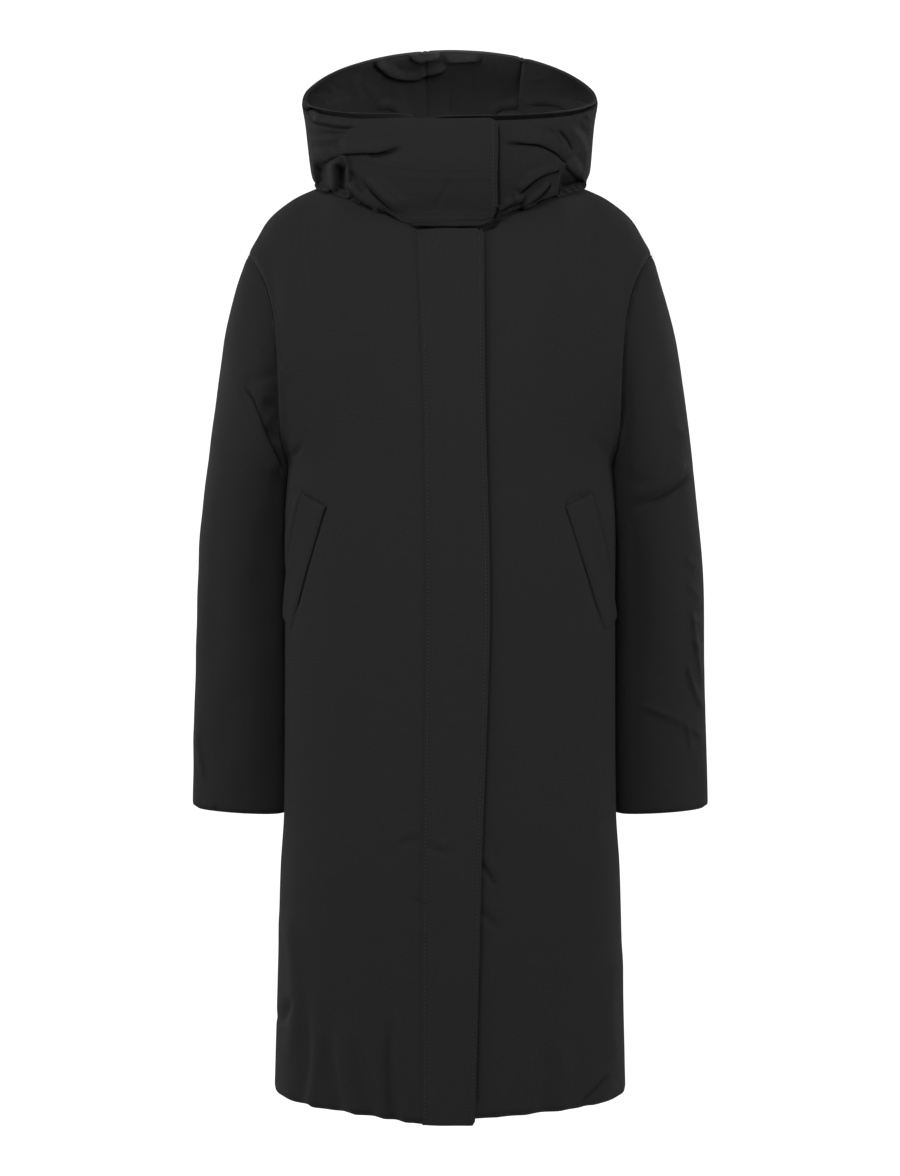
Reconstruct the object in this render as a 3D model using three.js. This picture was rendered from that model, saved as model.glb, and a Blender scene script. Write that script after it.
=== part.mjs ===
// A long hooded parka in black technical cloth. It keeps the hollow form that it has when it is worn.
// Millimetres, +Z up. The front faces -Y, and the wearer's right side is at -X.
// The origin is midway between the inner ends of the shoulder seams, where the wearer carries it.

import * as THREE from 'three';

// Cloth and seams
const shellWall = 3;
const liningWall = 1.5;
const weltWall = 2;
const liningSpace = 1;
const liningRise = 2;
const seamGap = 0.3;
const sleeveGap = 0.5;

// Lengths down the coat, as levels below the shoulders
const hemLevel = -1075;
const underarmLevel = -341;
const placketTop = -74.5;
const placketBottom = -1087;
const hemDrop = { right: 11, left: 2, back: 3 };

// The body below the arms: each row is one level round section, from hem to underarm
const sectionPower = 2.3;
const hemDropPower = 6;
const bodySections = [
  { level: -1090, halfWidth: 205.5, front: 152, back: 142 },
  { level: -900, halfWidth: 199, front: 151, back: 137 },
  { level: -744, halfWidth: 194, front: 150, back: 133 },
  { level: -500, halfWidth: 194, front: 148, back: 132 },
  { level: -390, halfWidth: 194, front: 147, back: 136 },
  { level: -341, halfWidth: 190, front: 146, back: 138 },
];

// The neck seam and the shoulder seam that meet at the neck point
const neckPoint = { x: 131, z: -3 };
const frontNeck = { depth: 98, drop: 67 };
const backNeck = { depth: 88, drop: 5 };
const neckShare = 0.6;
const neckBend = 1.6;
const shoulderSeam = [
  { x: 131, z: -3 },
  { x: 163, z: -14 },
  { x: 190, z: -28 },
  { x: 217, z: -52 },
  { x: 238, z: -91 },
];

// How the panels curve over to the neck and the shoulder: the pull of the curve's ends, its lean in degrees at the
// centre, the slant at which it meets the neck seam, and the fullness over the shoulder blade and the chest
const chest = { pull: 0.78, lean: 60, neckApproach: 0.75, shoulderSlope: 0.34, fullness: 14, fullnessPower: 4 };

// The armhole, an upright oval whose top flares out to the shoulder point and whose foot tucks in under the arm
const armhole = { middle: -216, halfHeight: 125, reach: 199, flare: 39, tuck: 9, front: 75, back: 78 };
const armholePower = { flare: 5, tuck: 12, pull: 4 };
const armholeCut = { share: 0.245, top: 0.3 };

// The sleeve's outer and inner lines as the front view shows them, and its cuff
const sleeveOuter = [
  { level: -91, x: 238 },
  { level: -121, x: 251 },
  { level: -180, x: 264 },
  { level: -286, x: 280 },
  { level: -427, x: 295 },
  { level: -569, x: 301.5 },
  { level: -738, x: 303.5 },
];
const sleeveInner = [
  { level: -341, x: 190 },
  { level: -356, x: 196 },
  { level: -400, x: 196.5 },
  { level: -500, x: 195 },
  { level: -746, x: 195.5 },
];
const cuffHalfDepth = 50;
const sleeveBack = { distance: 22, reached: 0.3 };
const armholeFade = 0.16;
const sleeveRowPower = 1.15;

// The hood: each row is one ring round it, from just above the neck seam to the rim
const hoodRings = [
  { halfWidth: 156, front: 102, back: 110, frontLevel: -50, sideLevel: 1.5, backLevel: -7 },
  { halfWidth: 165, front: 109, back: 150, frontLevel: -38, sideLevel: 13, backLevel: -12 },
  { halfWidth: 168, front: 116, back: 190, frontLevel: -15, sideLevel: 40, backLevel: 24 },
  { halfWidth: 172, front: 118, back: 203, frontLevel: 15, sideLevel: 66, backLevel: 84 },
  { halfWidth: 175, front: 117, back: 160, frontLevel: 37, sideLevel: 84, backLevel: 146 },
  { halfWidth: 175, front: 114, back: 57, frontLevel: 47, sideLevel: 92, backLevel: 163 },
];
const hoodTurns = { flapLiningEnd: -14, underEnd: -10, seamRight: -170, seamLeft: 150 };
const flapReach = 53;
const flapLift = { height: 4.2, from: -42, to: -12 };
const liningStart = -20;
const foldsBegin = { from: 0.08, to: 0.4 };

// The fly strip down the centre front: its sewn edge and its free edge, as seen from the front
const placketEdges = [
  { level: -1090, sewn: -31, free: 28 },
  { level: -970, sewn: -32, free: 31 },
  { level: -780, sewn: -31, free: 36 },
  { level: -650, sewn: -29, free: 41 },
  { level: -497, sewn: -28, free: 45 },
  { level: -280, sewn: -30, free: 40 },
  { level: -74, sewn: -38, free: 39 },
];
const placketLift = { sewn: 0.5, free: 1.6 };

// The pocket welts: each row gives the inner edge of the welt as a turn from the centre front, in degrees
const weltRows = [
  { level: -391, turn: 52 },
  { level: -436, turn: 57.5 },
  { level: -468, turn: 62 },
  { level: -506, turn: 67.5 },
  { level: -534, turn: 72.5 },
];
const weltTurn = 11.5;
const weltRise = 15;

// The largest folds, in the front view: a negative height is a trough, a positive one is a ridge.
// Each runs from one end to the other with the given half-width. They stop just behind the middle of the side.
const foldsBehind = 20;
const hoodFolds = [
  { fromX: -140, fromZ: 2, toX: -52, toZ: 13, width: 9, height: -9 },
  { fromX: -104, fromZ: -8, toX: -58, toZ: -30, width: 12, height: 5 },
  { fromX: 66, fromZ: 15, toX: 140, toZ: 4, width: 9, height: -9 },
  { fromX: 70, fromZ: -12, toX: 106, toZ: -2, width: 12, height: 5 },
  { fromX: -170, fromZ: 30, toX: -120, toZ: 34, width: 16, height: 4 },
  { fromX: 120, fromZ: 40, toX: 170, toZ: 26, width: 16, height: 4 },
];
const sleeveRightFolds = [
  { fromX: -240, fromZ: -240, toX: -205, toZ: -345, width: 12, height: -8 },
  { fromX: -262, fromZ: -250, toX: -228, toZ: -345, width: 16, height: 5 },
];
const sleeveLeftFolds = [
  { fromX: 205, fromZ: -386, toX: 280, toZ: -342, width: 12, height: -7 },
  { fromX: 205, fromZ: -350, toX: 272, toZ: -310, width: 16, height: 5 },
  { fromX: 236, fromZ: -625, toX: 292, toZ: -650, width: 9, height: 4 },
];

// How finely each piece is divided
const lowerRows = 11;
const armholeSteps = 10;
const frontColumns = 15;
const backColumns = 20;
const sleeveRows = 15;
const hoodRows = 10;
const stripRows = 26;
const stripColumns = 3;
const weltSteps = 6;

const shellCloth = new THREE.MeshStandardMaterial({ color: 0x242425, roughness: 0.82, metalness: 0 });
const liningCloth = new THREE.MeshStandardMaterial({ color: 0x1f1f20, roughness: 0.88, metalness: 0 });

const parka = new THREE.Group();
parka.name = 'parka';

// Maps a value to 0..1 between two limits, with a soft start and end.
function soften(from, to, value) {
  const share = THREE.MathUtils.clamp((value - from) / (to - from), 0, 1);
  return share * share * (3 - 2 * share);
}

// Reads one column of a table at a place along another, with a smooth curve through the rows.
function readTable(rows, key, column, place) {
  const rising = rows[rows.length - 1][key] > rows[0][key];
  const past = (row) => (rising ? row[key] <= place : row[key] >= place);
  let start = 0;
  while (start < rows.length - 2 && past(rows[start + 1])) {
    start += 1;
  }
  const slope = (index) => {
    const before = rows[Math.max(index - 1, 0)];
    const after = rows[Math.min(index + 1, rows.length - 1)];
    return (after[column] - before[column]) / (after[key] - before[key]);
  };
  const low = rows[start];
  const high = rows[start + 1];
  const span = high[key] - low[key];
  const share = THREE.MathUtils.clamp((place - low[key]) / span, 0, 1);
  return hermite(low[column], slope(start) * span, high[column], slope(start + 1) * span, share);
}

// A cubic from one value to another with a given slope at each end.
function hermite(start, startSlope, end, endSlope, share) {
  const square = share * share;
  const cube = square * share;
  const first = (2 * cube - 3 * square + 1) * start + (cube - 2 * square + share) * startSlope;
  return first + (3 * square - 2 * cube) * end + (cube - square) * endSlope;
}

// A point of the body below the arms, at a turn from the centre line of that face (front -1, back 1).
function bodySection(face, turn, level) {
  const halfWidth = readTable(bodySections, 'level', 'halfWidth', level);
  const depth = readTable(bodySections, 'level', face < 0 ? 'front' : 'back', level);
  const across = Math.abs(Math.sin(turn) / halfWidth) ** sectionPower;
  const along = Math.abs(Math.cos(turn) / depth) ** sectionPower;
  const radius = (across + along) ** (-1 / sectionPower);
  return new THREE.Vector3(radius * Math.sin(turn), face * radius * Math.cos(turn), level);
}

// The neck seam: turn 0 is the centre front or back and a quarter turn is the neck point.
function neckSeam(face, turn) {
  const neck = face < 0 ? frontNeck : backNeck;
  const open = Math.max(Math.cos(turn), 0);
  const drop = neck.drop * open ** neckBend;
  return new THREE.Vector3(neckPoint.x * Math.sin(turn), face * neck.depth * open, neckPoint.z - drop);
}

// The top edge of a panel: the neck seam, then the shoulder seam out to the shoulder point.
function topEdge(face, across) {
  if (across <= neckShare) {
    return neckSeam(face, (across / neckShare) * (Math.PI / 2));
  }
  const place = ((across - neckShare) / (1 - neckShare)) * (shoulderSeam.length - 1);
  const rows = shoulderSeam.map((row, index) => ({ ...row, index }));
  const x = readTable(rows, 'index', 'x', place);
  const z = readTable(rows, 'index', 'z', place);
  return new THREE.Vector3(x, 0, z);
}

// The armhole edge of a panel, from under the arm (rise 0) to the shoulder point (rise 1).
function armholeEdge(face, rise) {
  const high = -Math.cos(Math.PI * rise);
  const flare = armhole.flare * ((1 + high) / 2) ** armholePower.flare;
  const tuck = armhole.tuck * ((1 - high) / 2) ** armholePower.tuck;
  const depth = face < 0 ? armhole.front : armhole.back;
  const y = face * depth * Math.sin(Math.PI * rise);
  return new THREE.Vector3(armhole.reach + flare - tuck, y, armhole.middle + armhole.halfHeight * high);
}

// The free curve of one column of a panel above the underarm: upright at the chest, leaning over at the top.
function chestColumn(face, across, rise) {
  const start = bodySection(face, across * (Math.PI / 2), underarmLevel);
  const end = topEdge(face, across);
  const share = (1 - Math.cos(Math.PI * rise)) / 2;
  const neckTurn = Math.min(across / neckShare, 1) * (Math.PI / 2);
  const lean = THREE.MathUtils.degToRad(chest.lean) * Math.max(Math.cos(neckTurn), 0) ** neckBend;
  const height = end.z - start.z;
  const pull = height * chest.pull;
  const nearNeck = across < neckShare ? Math.sin(neckTurn) ** 2 : 1 - soften(neckShare, 1, across);
  const inward = chest.neckApproach * nearNeck;
  const widest = (27 / 4) * across * across * (1 - across);
  const full = chest.fullness * widest * Math.sin(Math.PI * share) ** chest.fullnessPower;
  const x = hermite(start.x, 0, end.x, -pull * inward, share);
  const y = hermite(start.y, 0, end.y, -face * pull * Math.cos(lean), share) + face * full;
  const z = hermite(start.z, height, end.z, pull * (Math.sin(lean) + inward * chest.shoulderSlope), share);
  return new THREE.Vector3(x, y, z);
}

// How far round the free curves the armhole lies: it cuts into the side below and meets it at the shoulder.
function armholeShare(rise) {
  return 1 - armholeCut.share * Math.sin(Math.PI * rise) * (1 - soften(armholeCut.top, 1, rise));
}

// A point of a panel on the +X half: up runs 0..1 from hem to underarm and 1..2 from there to the top.
function bodyPoint(face, across, up, drop) {
  if (up <= 1) {
    const turn = across * (Math.PI / 2);
    const foot = hemLevel - drop * Math.cos(turn) ** hemDropPower;
    return bodySection(face, turn, foot + (underarmLevel - foot) * up);
  }
  const rise = up - 1;
  const share = armholeShare(rise);
  const edgeShift = armholeEdge(face, rise).sub(chestColumn(face, share, rise));
  return chestColumn(face, across * share, rise).addScaledVector(edgeShift, across ** armholePower.pull);
}

// Finds the point of the front at a place in the front view, by stepping towards it.
function frontAt(x, level, drop) {
  const mostRounds = 12;
  const longestStep = 0.4;
  const step = 1e-4;
  let across = 0.1;
  let up = level < underarmLevel ? 0.5 : 1.5;
  let point = bodyPoint(-1, across, up, drop);
  for (let round = 0; round < mostRounds; round += 1) {
    const missX = Math.abs(x) - point.x;
    const missZ = level - point.z;
    const sideways = bodyPoint(-1, across + step, up, drop).sub(point).divideScalar(step);
    const upwards = bodyPoint(-1, across, up + step, drop).sub(point).divideScalar(step);
    const area = sideways.x * upwards.z - sideways.z * upwards.x;
    across += (missX * upwards.z - missZ * upwards.x) / area;
    const climb = (missZ * sideways.x - missX * sideways.z) / area;
    up += THREE.MathUtils.clamp(climb, -longestStep, longestStep);
    across = THREE.MathUtils.clamp(across, 0, 0.99);
    point = bodyPoint(-1, across, up, drop);
  }
  return new THREE.Vector3(Math.sign(x) * point.x, point.y, point.z);
}

// How far folds push the cloth out at a point of the front, with their ends faded.
function foldHeight(folds, point) {
  let height = 0;
  for (const fold of folds) {
    const runX = fold.toX - fold.fromX;
    const runZ = fold.toZ - fold.fromZ;
    const length = Math.hypot(runX, runZ);
    const along = ((point.x - fold.fromX) * runX + (point.z - fold.fromZ) * runZ) / (length * length);
    const aside = ((point.x - fold.fromX) * runZ - (point.z - fold.fromZ) * runX) / length;
    const ends = soften(-0.15, 0.25, along) * (1 - soften(0.75, 1.15, along));
    height += fold.height * ends * Math.exp(-((aside / fold.width) ** 2));
  }
  return point.y < foldsBehind ? height : 0;
}

// Works out the outward normals of a grid of points, rows by columns. A wrapped grid closes round its columns.
function gridNormals(grid, wraps, inside) {
  const rows = grid.length;
  const columns = grid[0].length;
  const slope = (before, here, after, further) => {
    if (before && after) {
      return after.clone().sub(before);
    }
    const near = after || before;
    const first = here.clone().sub(near);
    const second = near.clone().sub(further);
    const share = first.length() / (first.length() + second.length());
    first.normalize();
    const bend = first.clone().sub(second.normalize());
    return first.addScaledVector(bend, share).multiplyScalar(after ? -1 : 1);
  };
  const normals = grid.map((row, r) => row.map((point, c) => {
    const left = wraps ? row[(c + columns - 1) % columns] : row[c - 1];
    const right = wraps ? row[(c + 1) % columns] : row[c + 1];
    const further = row[c === 0 ? 2 : columns - 3];
    const along = slope(left, point, right, further);
    const down = grid[r - 1] && grid[r - 1][c];
    const over = grid[r + 1] && grid[r + 1][c];
    const upwards = slope(down, point, over, grid[r === 0 ? 2 : rows - 3][c]);
    return along.cross(upwards).normalize();
  }));
  let outward = 0;
  grid.forEach((row, r) => row.forEach((point, c) => {
    outward += normals[r][c].dot(point.clone().sub(inside(point)));
  }));
  return outward < 0 ? normals.map((row) => row.map((normal) => normal.negate())) : normals;
}

// Draws the stated edges of a grid in by a distance each, so that neighbouring pieces stay clear of each other.
function trimEdges(grid, sides) {
  const rows = grid.length;
  const columns = grid[0].length;
  const draw = (point, neighbour, distance) => {
    const way = neighbour.clone().sub(point);
    point.addScaledVector(way.normalize(), distance || 0);
  };
  for (const row of grid) {
    draw(row[0], row[1], sides.left);
    draw(row[columns - 1], row[columns - 2], sides.right);
  }
  for (let c = 0; c < columns; c += 1) {
    draw(grid[0][c], grid[1][c], sides.low);
    draw(grid[rows - 1][c], grid[rows - 2][c], sides.high);
  }
}

// Moves every point of a grid along its normal.
function moveOut(grid, normals, distance) {
  return grid.map((row, r) => row.map((point, c) => {
    const out = typeof distance === 'function' ? distance(point, r, c) : distance;
    return point.clone().addScaledVector(normals[r][c], out);
  }));
}

// Makes a closed wall from its outer and inner grids. A wrapped wall is a tube that is open at both ends.
function wallGeometry(outer, inner, wraps) {
  const rows = outer.length;
  const columns = outer[0].length;
  const points = [...outer.flat(), ...inner.flat()];
  const indices = [];
  const at = (layer, r, c) => layer * rows * columns + r * columns + (c % columns);
  const quad = (a, b, c, d) => indices.push(a, b, c, a, c, d);
  const spans = wraps ? columns : columns - 1;
  for (let c = 0; c < spans; c += 1) {
    for (let r = 0; r < rows - 1; r += 1) {
      quad(at(0, r, c), at(0, r, c + 1), at(0, r + 1, c + 1), at(0, r + 1, c));
      quad(at(1, r, c), at(1, r + 1, c), at(1, r + 1, c + 1), at(1, r, c + 1));
    }
    quad(at(0, 0, c), at(1, 0, c), at(1, 0, c + 1), at(0, 0, c + 1));
    quad(at(0, rows - 1, c), at(0, rows - 1, c + 1), at(1, rows - 1, c + 1), at(1, rows - 1, c));
  }
  for (let r = 0; r < rows - 1 && !wraps; r += 1) {
    quad(at(0, r, 0), at(0, r + 1, 0), at(1, r + 1, 0), at(1, r, 0));
    quad(at(0, r, spans), at(1, r, spans), at(1, r + 1, spans), at(0, r + 1, spans));
  }
  let volume = 0;
  for (let i = 0; i < indices.length; i += 3) {
    const [a, b, c] = [points[indices[i]], points[indices[i + 1]], points[indices[i + 2]]];
    volume += a.dot(b.clone().cross(c));
  }
  if (volume < 0) {
    indices.reverse();
  }
  const geometry = new THREE.BufferGeometry();
  geometry.setAttribute('position', new THREE.Float32BufferAttribute(points.flatMap((p) => [p.x, p.y, p.z]), 3));
  geometry.setIndex(indices);
  return geometry;
}

// Adds one piece of cloth from its outer grid, its normals and its wall.
function addCloth(name, grid, normals, wall, cloth, wraps = false) {
  const mesh = new THREE.Mesh(wallGeometry(grid, moveOut(grid, normals, -wall), wraps), cloth);
  mesh.name = name;
  parka.add(mesh);
}

// Even steps from one value to another, both included.
function steps(from, to, count) {
  return Array.from({ length: count + 1 }, (_, index) => from + ((to - from) * index) / count);
}

// Body panels: the rows run from hem to top edge, so that those above the underarm meet the sleeve's own points.
const bodyRows = [...steps(0, 1, lowerRows), ...steps(1, 2, armholeSteps).slice(1)];
const bodyAxisTop = -120;
const bodyAxis = (point) => new THREE.Vector3(0, 0, Math.min(point.z, bodyAxisTop));

function bodyGrid(face, columns, drop) {
  return bodyRows.map((up) => columns.map((across) => {
    const point = bodyPoint(face, Math.abs(across), up, drop(across));
    point.x *= Math.sign(across) || 1;
    return point;
  }));
}

const halfGap = seamGap / 2;
const allEdges = { left: halfGap, right: halfGap, high: halfGap };
const panels = {
  right: bodyGrid(-1, steps(-1, 0, frontColumns), () => hemDrop.right),
  left: bodyGrid(-1, steps(0, 1, frontColumns), () => hemDrop.left),
  back: bodyGrid(1, steps(-1, 1, backColumns), () => hemDrop.back),
};
const panelNormals = {};
for (const [name, grid] of Object.entries(panels)) {
  panelNormals[name] = gridNormals(grid, false, bodyAxis);
  levelShoulders(grid, panelNormals[name]);
}

// Along the shoulder seam both panels' walls stand square to the seam, so that they don't cross.
function levelShoulders(grid, normals) {
  const top = grid.length - 1;
  grid[top].forEach((point, column) => {
    if (Math.abs(point.x) > neckPoint.x - 1) {
      normals[top][column].setY(0).normalize();
    }
  });
}

// Sleeves: every ring passes through the outer and inner lines, and the first is the armhole itself.
const ringSteps = armholeSteps * 2;
const leastShared = 0.1;

function sleevePoint(step, down) {
  const front = step <= armholeSteps;
  const rise = 1 - (front ? step : ringSteps - step) / armholeSteps;
  const seam = armholeEdge(front ? -1 : 1, rise);
  const outerLevel = THREE.MathUtils.lerp(sleeveOuter[0].level, sleeveOuter[sleeveOuter.length - 1].level, down);
  const innerLevel = THREE.MathUtils.lerp(sleeveInner[0].level, sleeveInner[sleeveInner.length - 1].level, down);
  const outer = new THREE.Vector3(readTable(sleeveOuter, 'level', 'x', outerLevel), 0, outerLevel);
  const inner = new THREE.Vector3(readTable(sleeveInner, 'level', 'x', innerLevel), 0, innerLevel);
  const turn = (2 * Math.PI * step) / ringSteps;
  const ring = inner.clone().lerp(outer, (1 + Math.cos(turn)) / 2);
  const halfDepth = THREE.MathUtils.lerp(front ? armhole.front : armhole.back, cuffHalfDepth, soften(0, 1, down));
  ring.y = -halfDepth * Math.sin(turn) + sleeveBack.distance * soften(0, sleeveBack.reached, down);
  return seam.lerp(ring, soften(0, armholeFade, down));
}

// For each point of a tube's grid, gives the middle of the ring that it is on.
function ringMiddle(grid) {
  const middles = new Map();
  for (const ring of grid) {
    const middle = ring.reduce((sum, each) => sum.add(each), new THREE.Vector3()).divideScalar(ring.length);
    ring.forEach((point) => middles.set(point, middle));
  }
  return (point) => middles.get(point);
}

function addSleeve(name, side, folds) {
  const downs = steps(0, 1, sleeveRows).map((share) => share ** sleeveRowPower);
  const grid = downs.map((down) => Array.from({ length: ringSteps }, (_, step) => {
    const point = sleevePoint(step, down);
    point.x *= side;
    return point;
  }));
  const smooth = gridNormals(grid, true, ringMiddle(grid));
  const folded = moveOut(grid, smooth, (point, r) => (r ? foldHeight(folds, point) : 0));
  const normals = gridNormals(folded, true, ringMiddle(folded));
  for (let step = 0; step < ringSteps; step += 1) {
    shareSeamNormal(side, step, normals[0]);
  }
  trimEdges(folded, { low: sleeveGap });
  addCloth(name, folded, normals, shellWall, shellCloth, true);
}

// Where a sleeve and a panel meet in a ridge, both edges lean the same way, so that their walls don't cross.
// Where they meet in a deep valley, each keeps its own.
function shareSeamNormal(side, step, ring) {
  const front = step <= armholeSteps;
  const row = bodyRows.length - 1 - (front ? step : ringSteps - step);
  const names = step === 0 || step === armholeSteps ? [side < 0 ? 'right' : 'left', 'back'] : [];
  names.push(front ? (side < 0 ? 'right' : 'left') : 'back');
  for (const name of new Set(names)) {
    const line = panelNormals[name][row];
    const column = side < 0 ? 0 : line.length - 1;
    if (line[column].dot(ring[step]) > leastShared) {
      const shared = line[column].clone().add(ring[step]).normalize();
      line[column].copy(shared);
      ring[step].copy(shared);
    }
  }
}

addSleeve('sleeve_right', -1, sleeveRightFolds);
addSleeve('sleeve_left', 1, sleeveLeftFolds);

trimEdges(panels.right, allEdges);
trimEdges(panels.left, allEdges);
trimEdges(panels.back, allEdges);
addCloth('front_right', panels.right, panelNormals.right, shellWall, shellCloth);
addCloth('front_left', panels.left, panelNormals.left, shellWall, shellCloth);
addCloth('back', panels.back, panelNormals.back, shellWall, shellCloth);

// The hood's outer surface: turn goes from the centre front towards +X, up from the neck seam to the rim.
function hoodPoint(turn, up) {
  const face = Math.cos(turn) > 0 ? -1 : 1;
  const quarter = Math.asin(Math.min(Math.abs(Math.sin(turn)), 1));
  const seam = neckSeam(face, quarter);
  seam.x *= Math.sign(Math.sin(turn)) || 1;
  seam.z += seamGap;
  const rows = [{ place: 0, x: seam.x, y: seam.y, z: seam.z }];
  hoodRings.forEach((ring, index) => {
    const tilt = (ring.frontLevel - ring.backLevel) / 2;
    const bow = (ring.frontLevel + ring.backLevel) / 2 - ring.sideLevel;
    const depth = face < 0 ? ring.front : ring.back;
    rows.push({
      place: index + 1,
      x: ring.halfWidth * Math.sin(turn),
      y: -depth * Math.cos(turn),
      z: ring.sideLevel + tilt * Math.cos(turn) + bow * Math.cos(turn) ** 2,
    });
  });
  const place = up * hoodRings.length;
  const read = (column) => readTable(rows, 'place', column, place);
  return new THREE.Vector3(read('x'), read('y'), read('z'));
}

// A point well inside the hood, from which each of its panels is seen from within.
const hoodInside = (point) => new THREE.Vector3(point.x / 2, 35, Math.max(point.z / 3, 28));

// One panel of the hood, with its lining behind the first of its columns. turnsAt gives a row's turns in degrees.
function addHoodPanel(part, turnsAt, liningColumns, isFlap) {
  const ups = steps(0, 1, hoodRows);
  const turns = ups.map(turnsAt);
  const grid = ups.map((up, r) => turns[r].map((turn) => hoodPoint(THREE.MathUtils.degToRad(turn), up)));
  const shaped = moveOut(grid, gridNormals(grid, false, hoodInside), (point, r, c) => {
    const lift = isFlap ? flapLift.height * soften(flapLift.from, flapLift.to, turns[r][c]) : 0;
    return lift + foldHeight(hoodFolds, point) * soften(foldsBegin.from, foldsBegin.to, ups[r]);
  });
  const normals = gridNormals(shaped, false, hoodInside);
  const lining = moveOut(shaped, normals, -shellWall - liningSpace).map((row) => row.slice(0, liningColumns));
  const liningNormals = normals.map((row) => row.slice(0, liningColumns));
  trimEdges(shaped, { left: halfGap, right: halfGap });
  trimEdges(lining, { left: halfGap, right: halfGap, low: liningRise });
  addCloth(`hood_${part}`, shaped, normals, shellWall, shellCloth);
  addCloth(`hood_lining_${part.replace('side_', '')}`, lining, liningNormals, liningWall, liningCloth);
}

const { flapLiningEnd, underEnd, seamRight, seamLeft } = hoodTurns;
const rightTurns = [...steps(seamRight, liningStart, 15), flapLiningEnd];
const leftTurns = steps(underEnd, seamLeft, 16);
const centreTurns = steps(seamLeft, seamRight + 360, 4);
const flapTurns = (up) => {
  const end = Math.asin(flapReach / hoodPoint(Math.PI / 2, up).x);
  return steps(flapLiningEnd, THREE.MathUtils.radToDeg(end), 3).slice(1);
};
addHoodPanel('side_right', (up) => [...rightTurns, ...flapTurns(up)], rightTurns.length, true);
addHoodPanel('side_left', () => leftTurns, leftTurns.length, false);
addHoodPanel('centre', () => centreTurns, centreTurns.length, false);

// The fly strip: it lies on both fronts and its free edge stands a little proud.
function addPlacket() {
  const levels = steps(placketBottom, placketTop, stripRows);
  const shares = steps(0, 1, stripColumns);
  const grid = levels.map((level) => shares.map((share) => {
    const sewn = readTable(placketEdges, 'level', 'sewn', level);
    const free = readTable(placketEdges, 'level', 'free', level);
    return frontAt(THREE.MathUtils.lerp(sewn, free, share), level, hemDrop.right);
  }));
  const normals = gridNormals(grid, false, bodyAxis);
  const placed = moveOut(grid, normals, (point, r, c) => (
    shellWall + seamGap + THREE.MathUtils.lerp(placketLift.sewn, placketLift.free, shares[c])
  ));
  addCloth('placket', placed, normals, shellWall, shellCloth);
}
addPlacket();

// A pocket welt: a slanted strip on the front's own surface, open along its outer edge.
function addWelt(name, side) {
  const shares = steps(0, 1, stripColumns);
  const levels = steps(weltRows[weltRows.length - 1].level, weltRows[0].level, weltSteps);
  const grid = levels.map((level) => shares.map((share) => {
    const turn = readTable(weltRows, 'level', 'turn', level) + weltTurn * share;
    const point = bodySection(-1, THREE.MathUtils.degToRad(turn), level + weltRise * share);
    point.x *= side;
    return point;
  }));
  const normals = gridNormals(grid, false, bodyAxis);
  addCloth(name, moveOut(grid, normals, weltWall + seamGap * 2), normals, weltWall, shellCloth);
}
addWelt('pocket_welt_right', -1);
addWelt('pocket_welt_left', 1);

export default parka;
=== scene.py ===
import bpy
import numpy as np
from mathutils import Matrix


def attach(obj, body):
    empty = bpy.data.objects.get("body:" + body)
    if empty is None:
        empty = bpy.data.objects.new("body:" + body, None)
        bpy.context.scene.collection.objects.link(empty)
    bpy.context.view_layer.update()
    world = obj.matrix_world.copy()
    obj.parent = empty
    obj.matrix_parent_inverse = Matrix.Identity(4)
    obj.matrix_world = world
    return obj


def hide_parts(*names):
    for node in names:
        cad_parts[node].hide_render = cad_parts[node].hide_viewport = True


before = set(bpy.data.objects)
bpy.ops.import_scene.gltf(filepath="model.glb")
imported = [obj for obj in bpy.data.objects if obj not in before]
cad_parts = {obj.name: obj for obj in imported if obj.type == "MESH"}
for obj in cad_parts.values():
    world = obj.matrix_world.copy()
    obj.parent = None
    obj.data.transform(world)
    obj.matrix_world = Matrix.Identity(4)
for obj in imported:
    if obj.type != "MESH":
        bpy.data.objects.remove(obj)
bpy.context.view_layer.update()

# The studio: the coat is photographed filled out, with nothing in it, in front of a plain white sweep. The camera
# stands three metres in front of it, level with its middle. Soft lamps light it from all round, and a small one
# the inside of the hood.
view_distance = 3.0
view_level = -0.484
film_width = 36
lens_length = 77.83
room_light = 0.13
scene = bpy.context.scene
scene.view_settings.view_transform = "Standard"
camera_data = bpy.data.cameras.new("camera")
camera_data.sensor_width = film_width
camera_data.lens = lens_length
camera = bpy.data.objects.new("camera", camera_data)
camera.location = (0, -view_distance, view_level)
camera.rotation_euler = (np.pi / 2, 0, 0)
scene.collection.objects.link(camera)
scene.camera = camera


def add_light(name, place, target, size, power, spread=180):
    """A soft rectangular lamp at a place, turned to a target."""
    data = bpy.data.lights.new(name, "AREA")
    data.shape = "RECTANGLE"
    data.size, data.size_y = size
    data.energy = power
    data.spread = np.radians(spread)
    lamp = bpy.data.objects.new(name, data)
    lamp.location = place
    way = np.subtract(target, place)
    flat = np.hypot(way[0], way[1])
    lamp.rotation_euler = (np.arctan2(flat, -way[2]), 0, np.arctan2(way[1], way[0]) - np.pi / 2)
    lamp.visible_camera = False
    scene.collection.objects.link(lamp)


add_light("softbox_left", (-2.3, -1.0, -0.1), (0, 0, -0.5), (1.2, 2.0), 14)
add_light("softbox_right", (2.3, -1.0, -0.1), (0, 0, -0.5), (1.2, 2.0), 15)
add_light("softbox_key", (-0.7, -2.5, 1.7), (0, 0, -0.2), (1.2, 1.0), 30.5)
add_light("softbox_front", (0.6, -3.4, 0.5), (0, 0, -0.2), (2.4, 1.6), 21)
add_light("softbox_back_left", (-1.7, 2.3, 0.3), (0, 0, -0.4), (1.2, 2.0), 9)
add_light("softbox_back_right", (1.7, 2.3, 0.3), (0, 0, -0.4), (1.2, 2.0), 9)
add_light("hood_fill", (0.0, -0.085, 0.15), (0, 0.16, 0.09), (0.07, 0.05), 0.132, spread=110)

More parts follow.
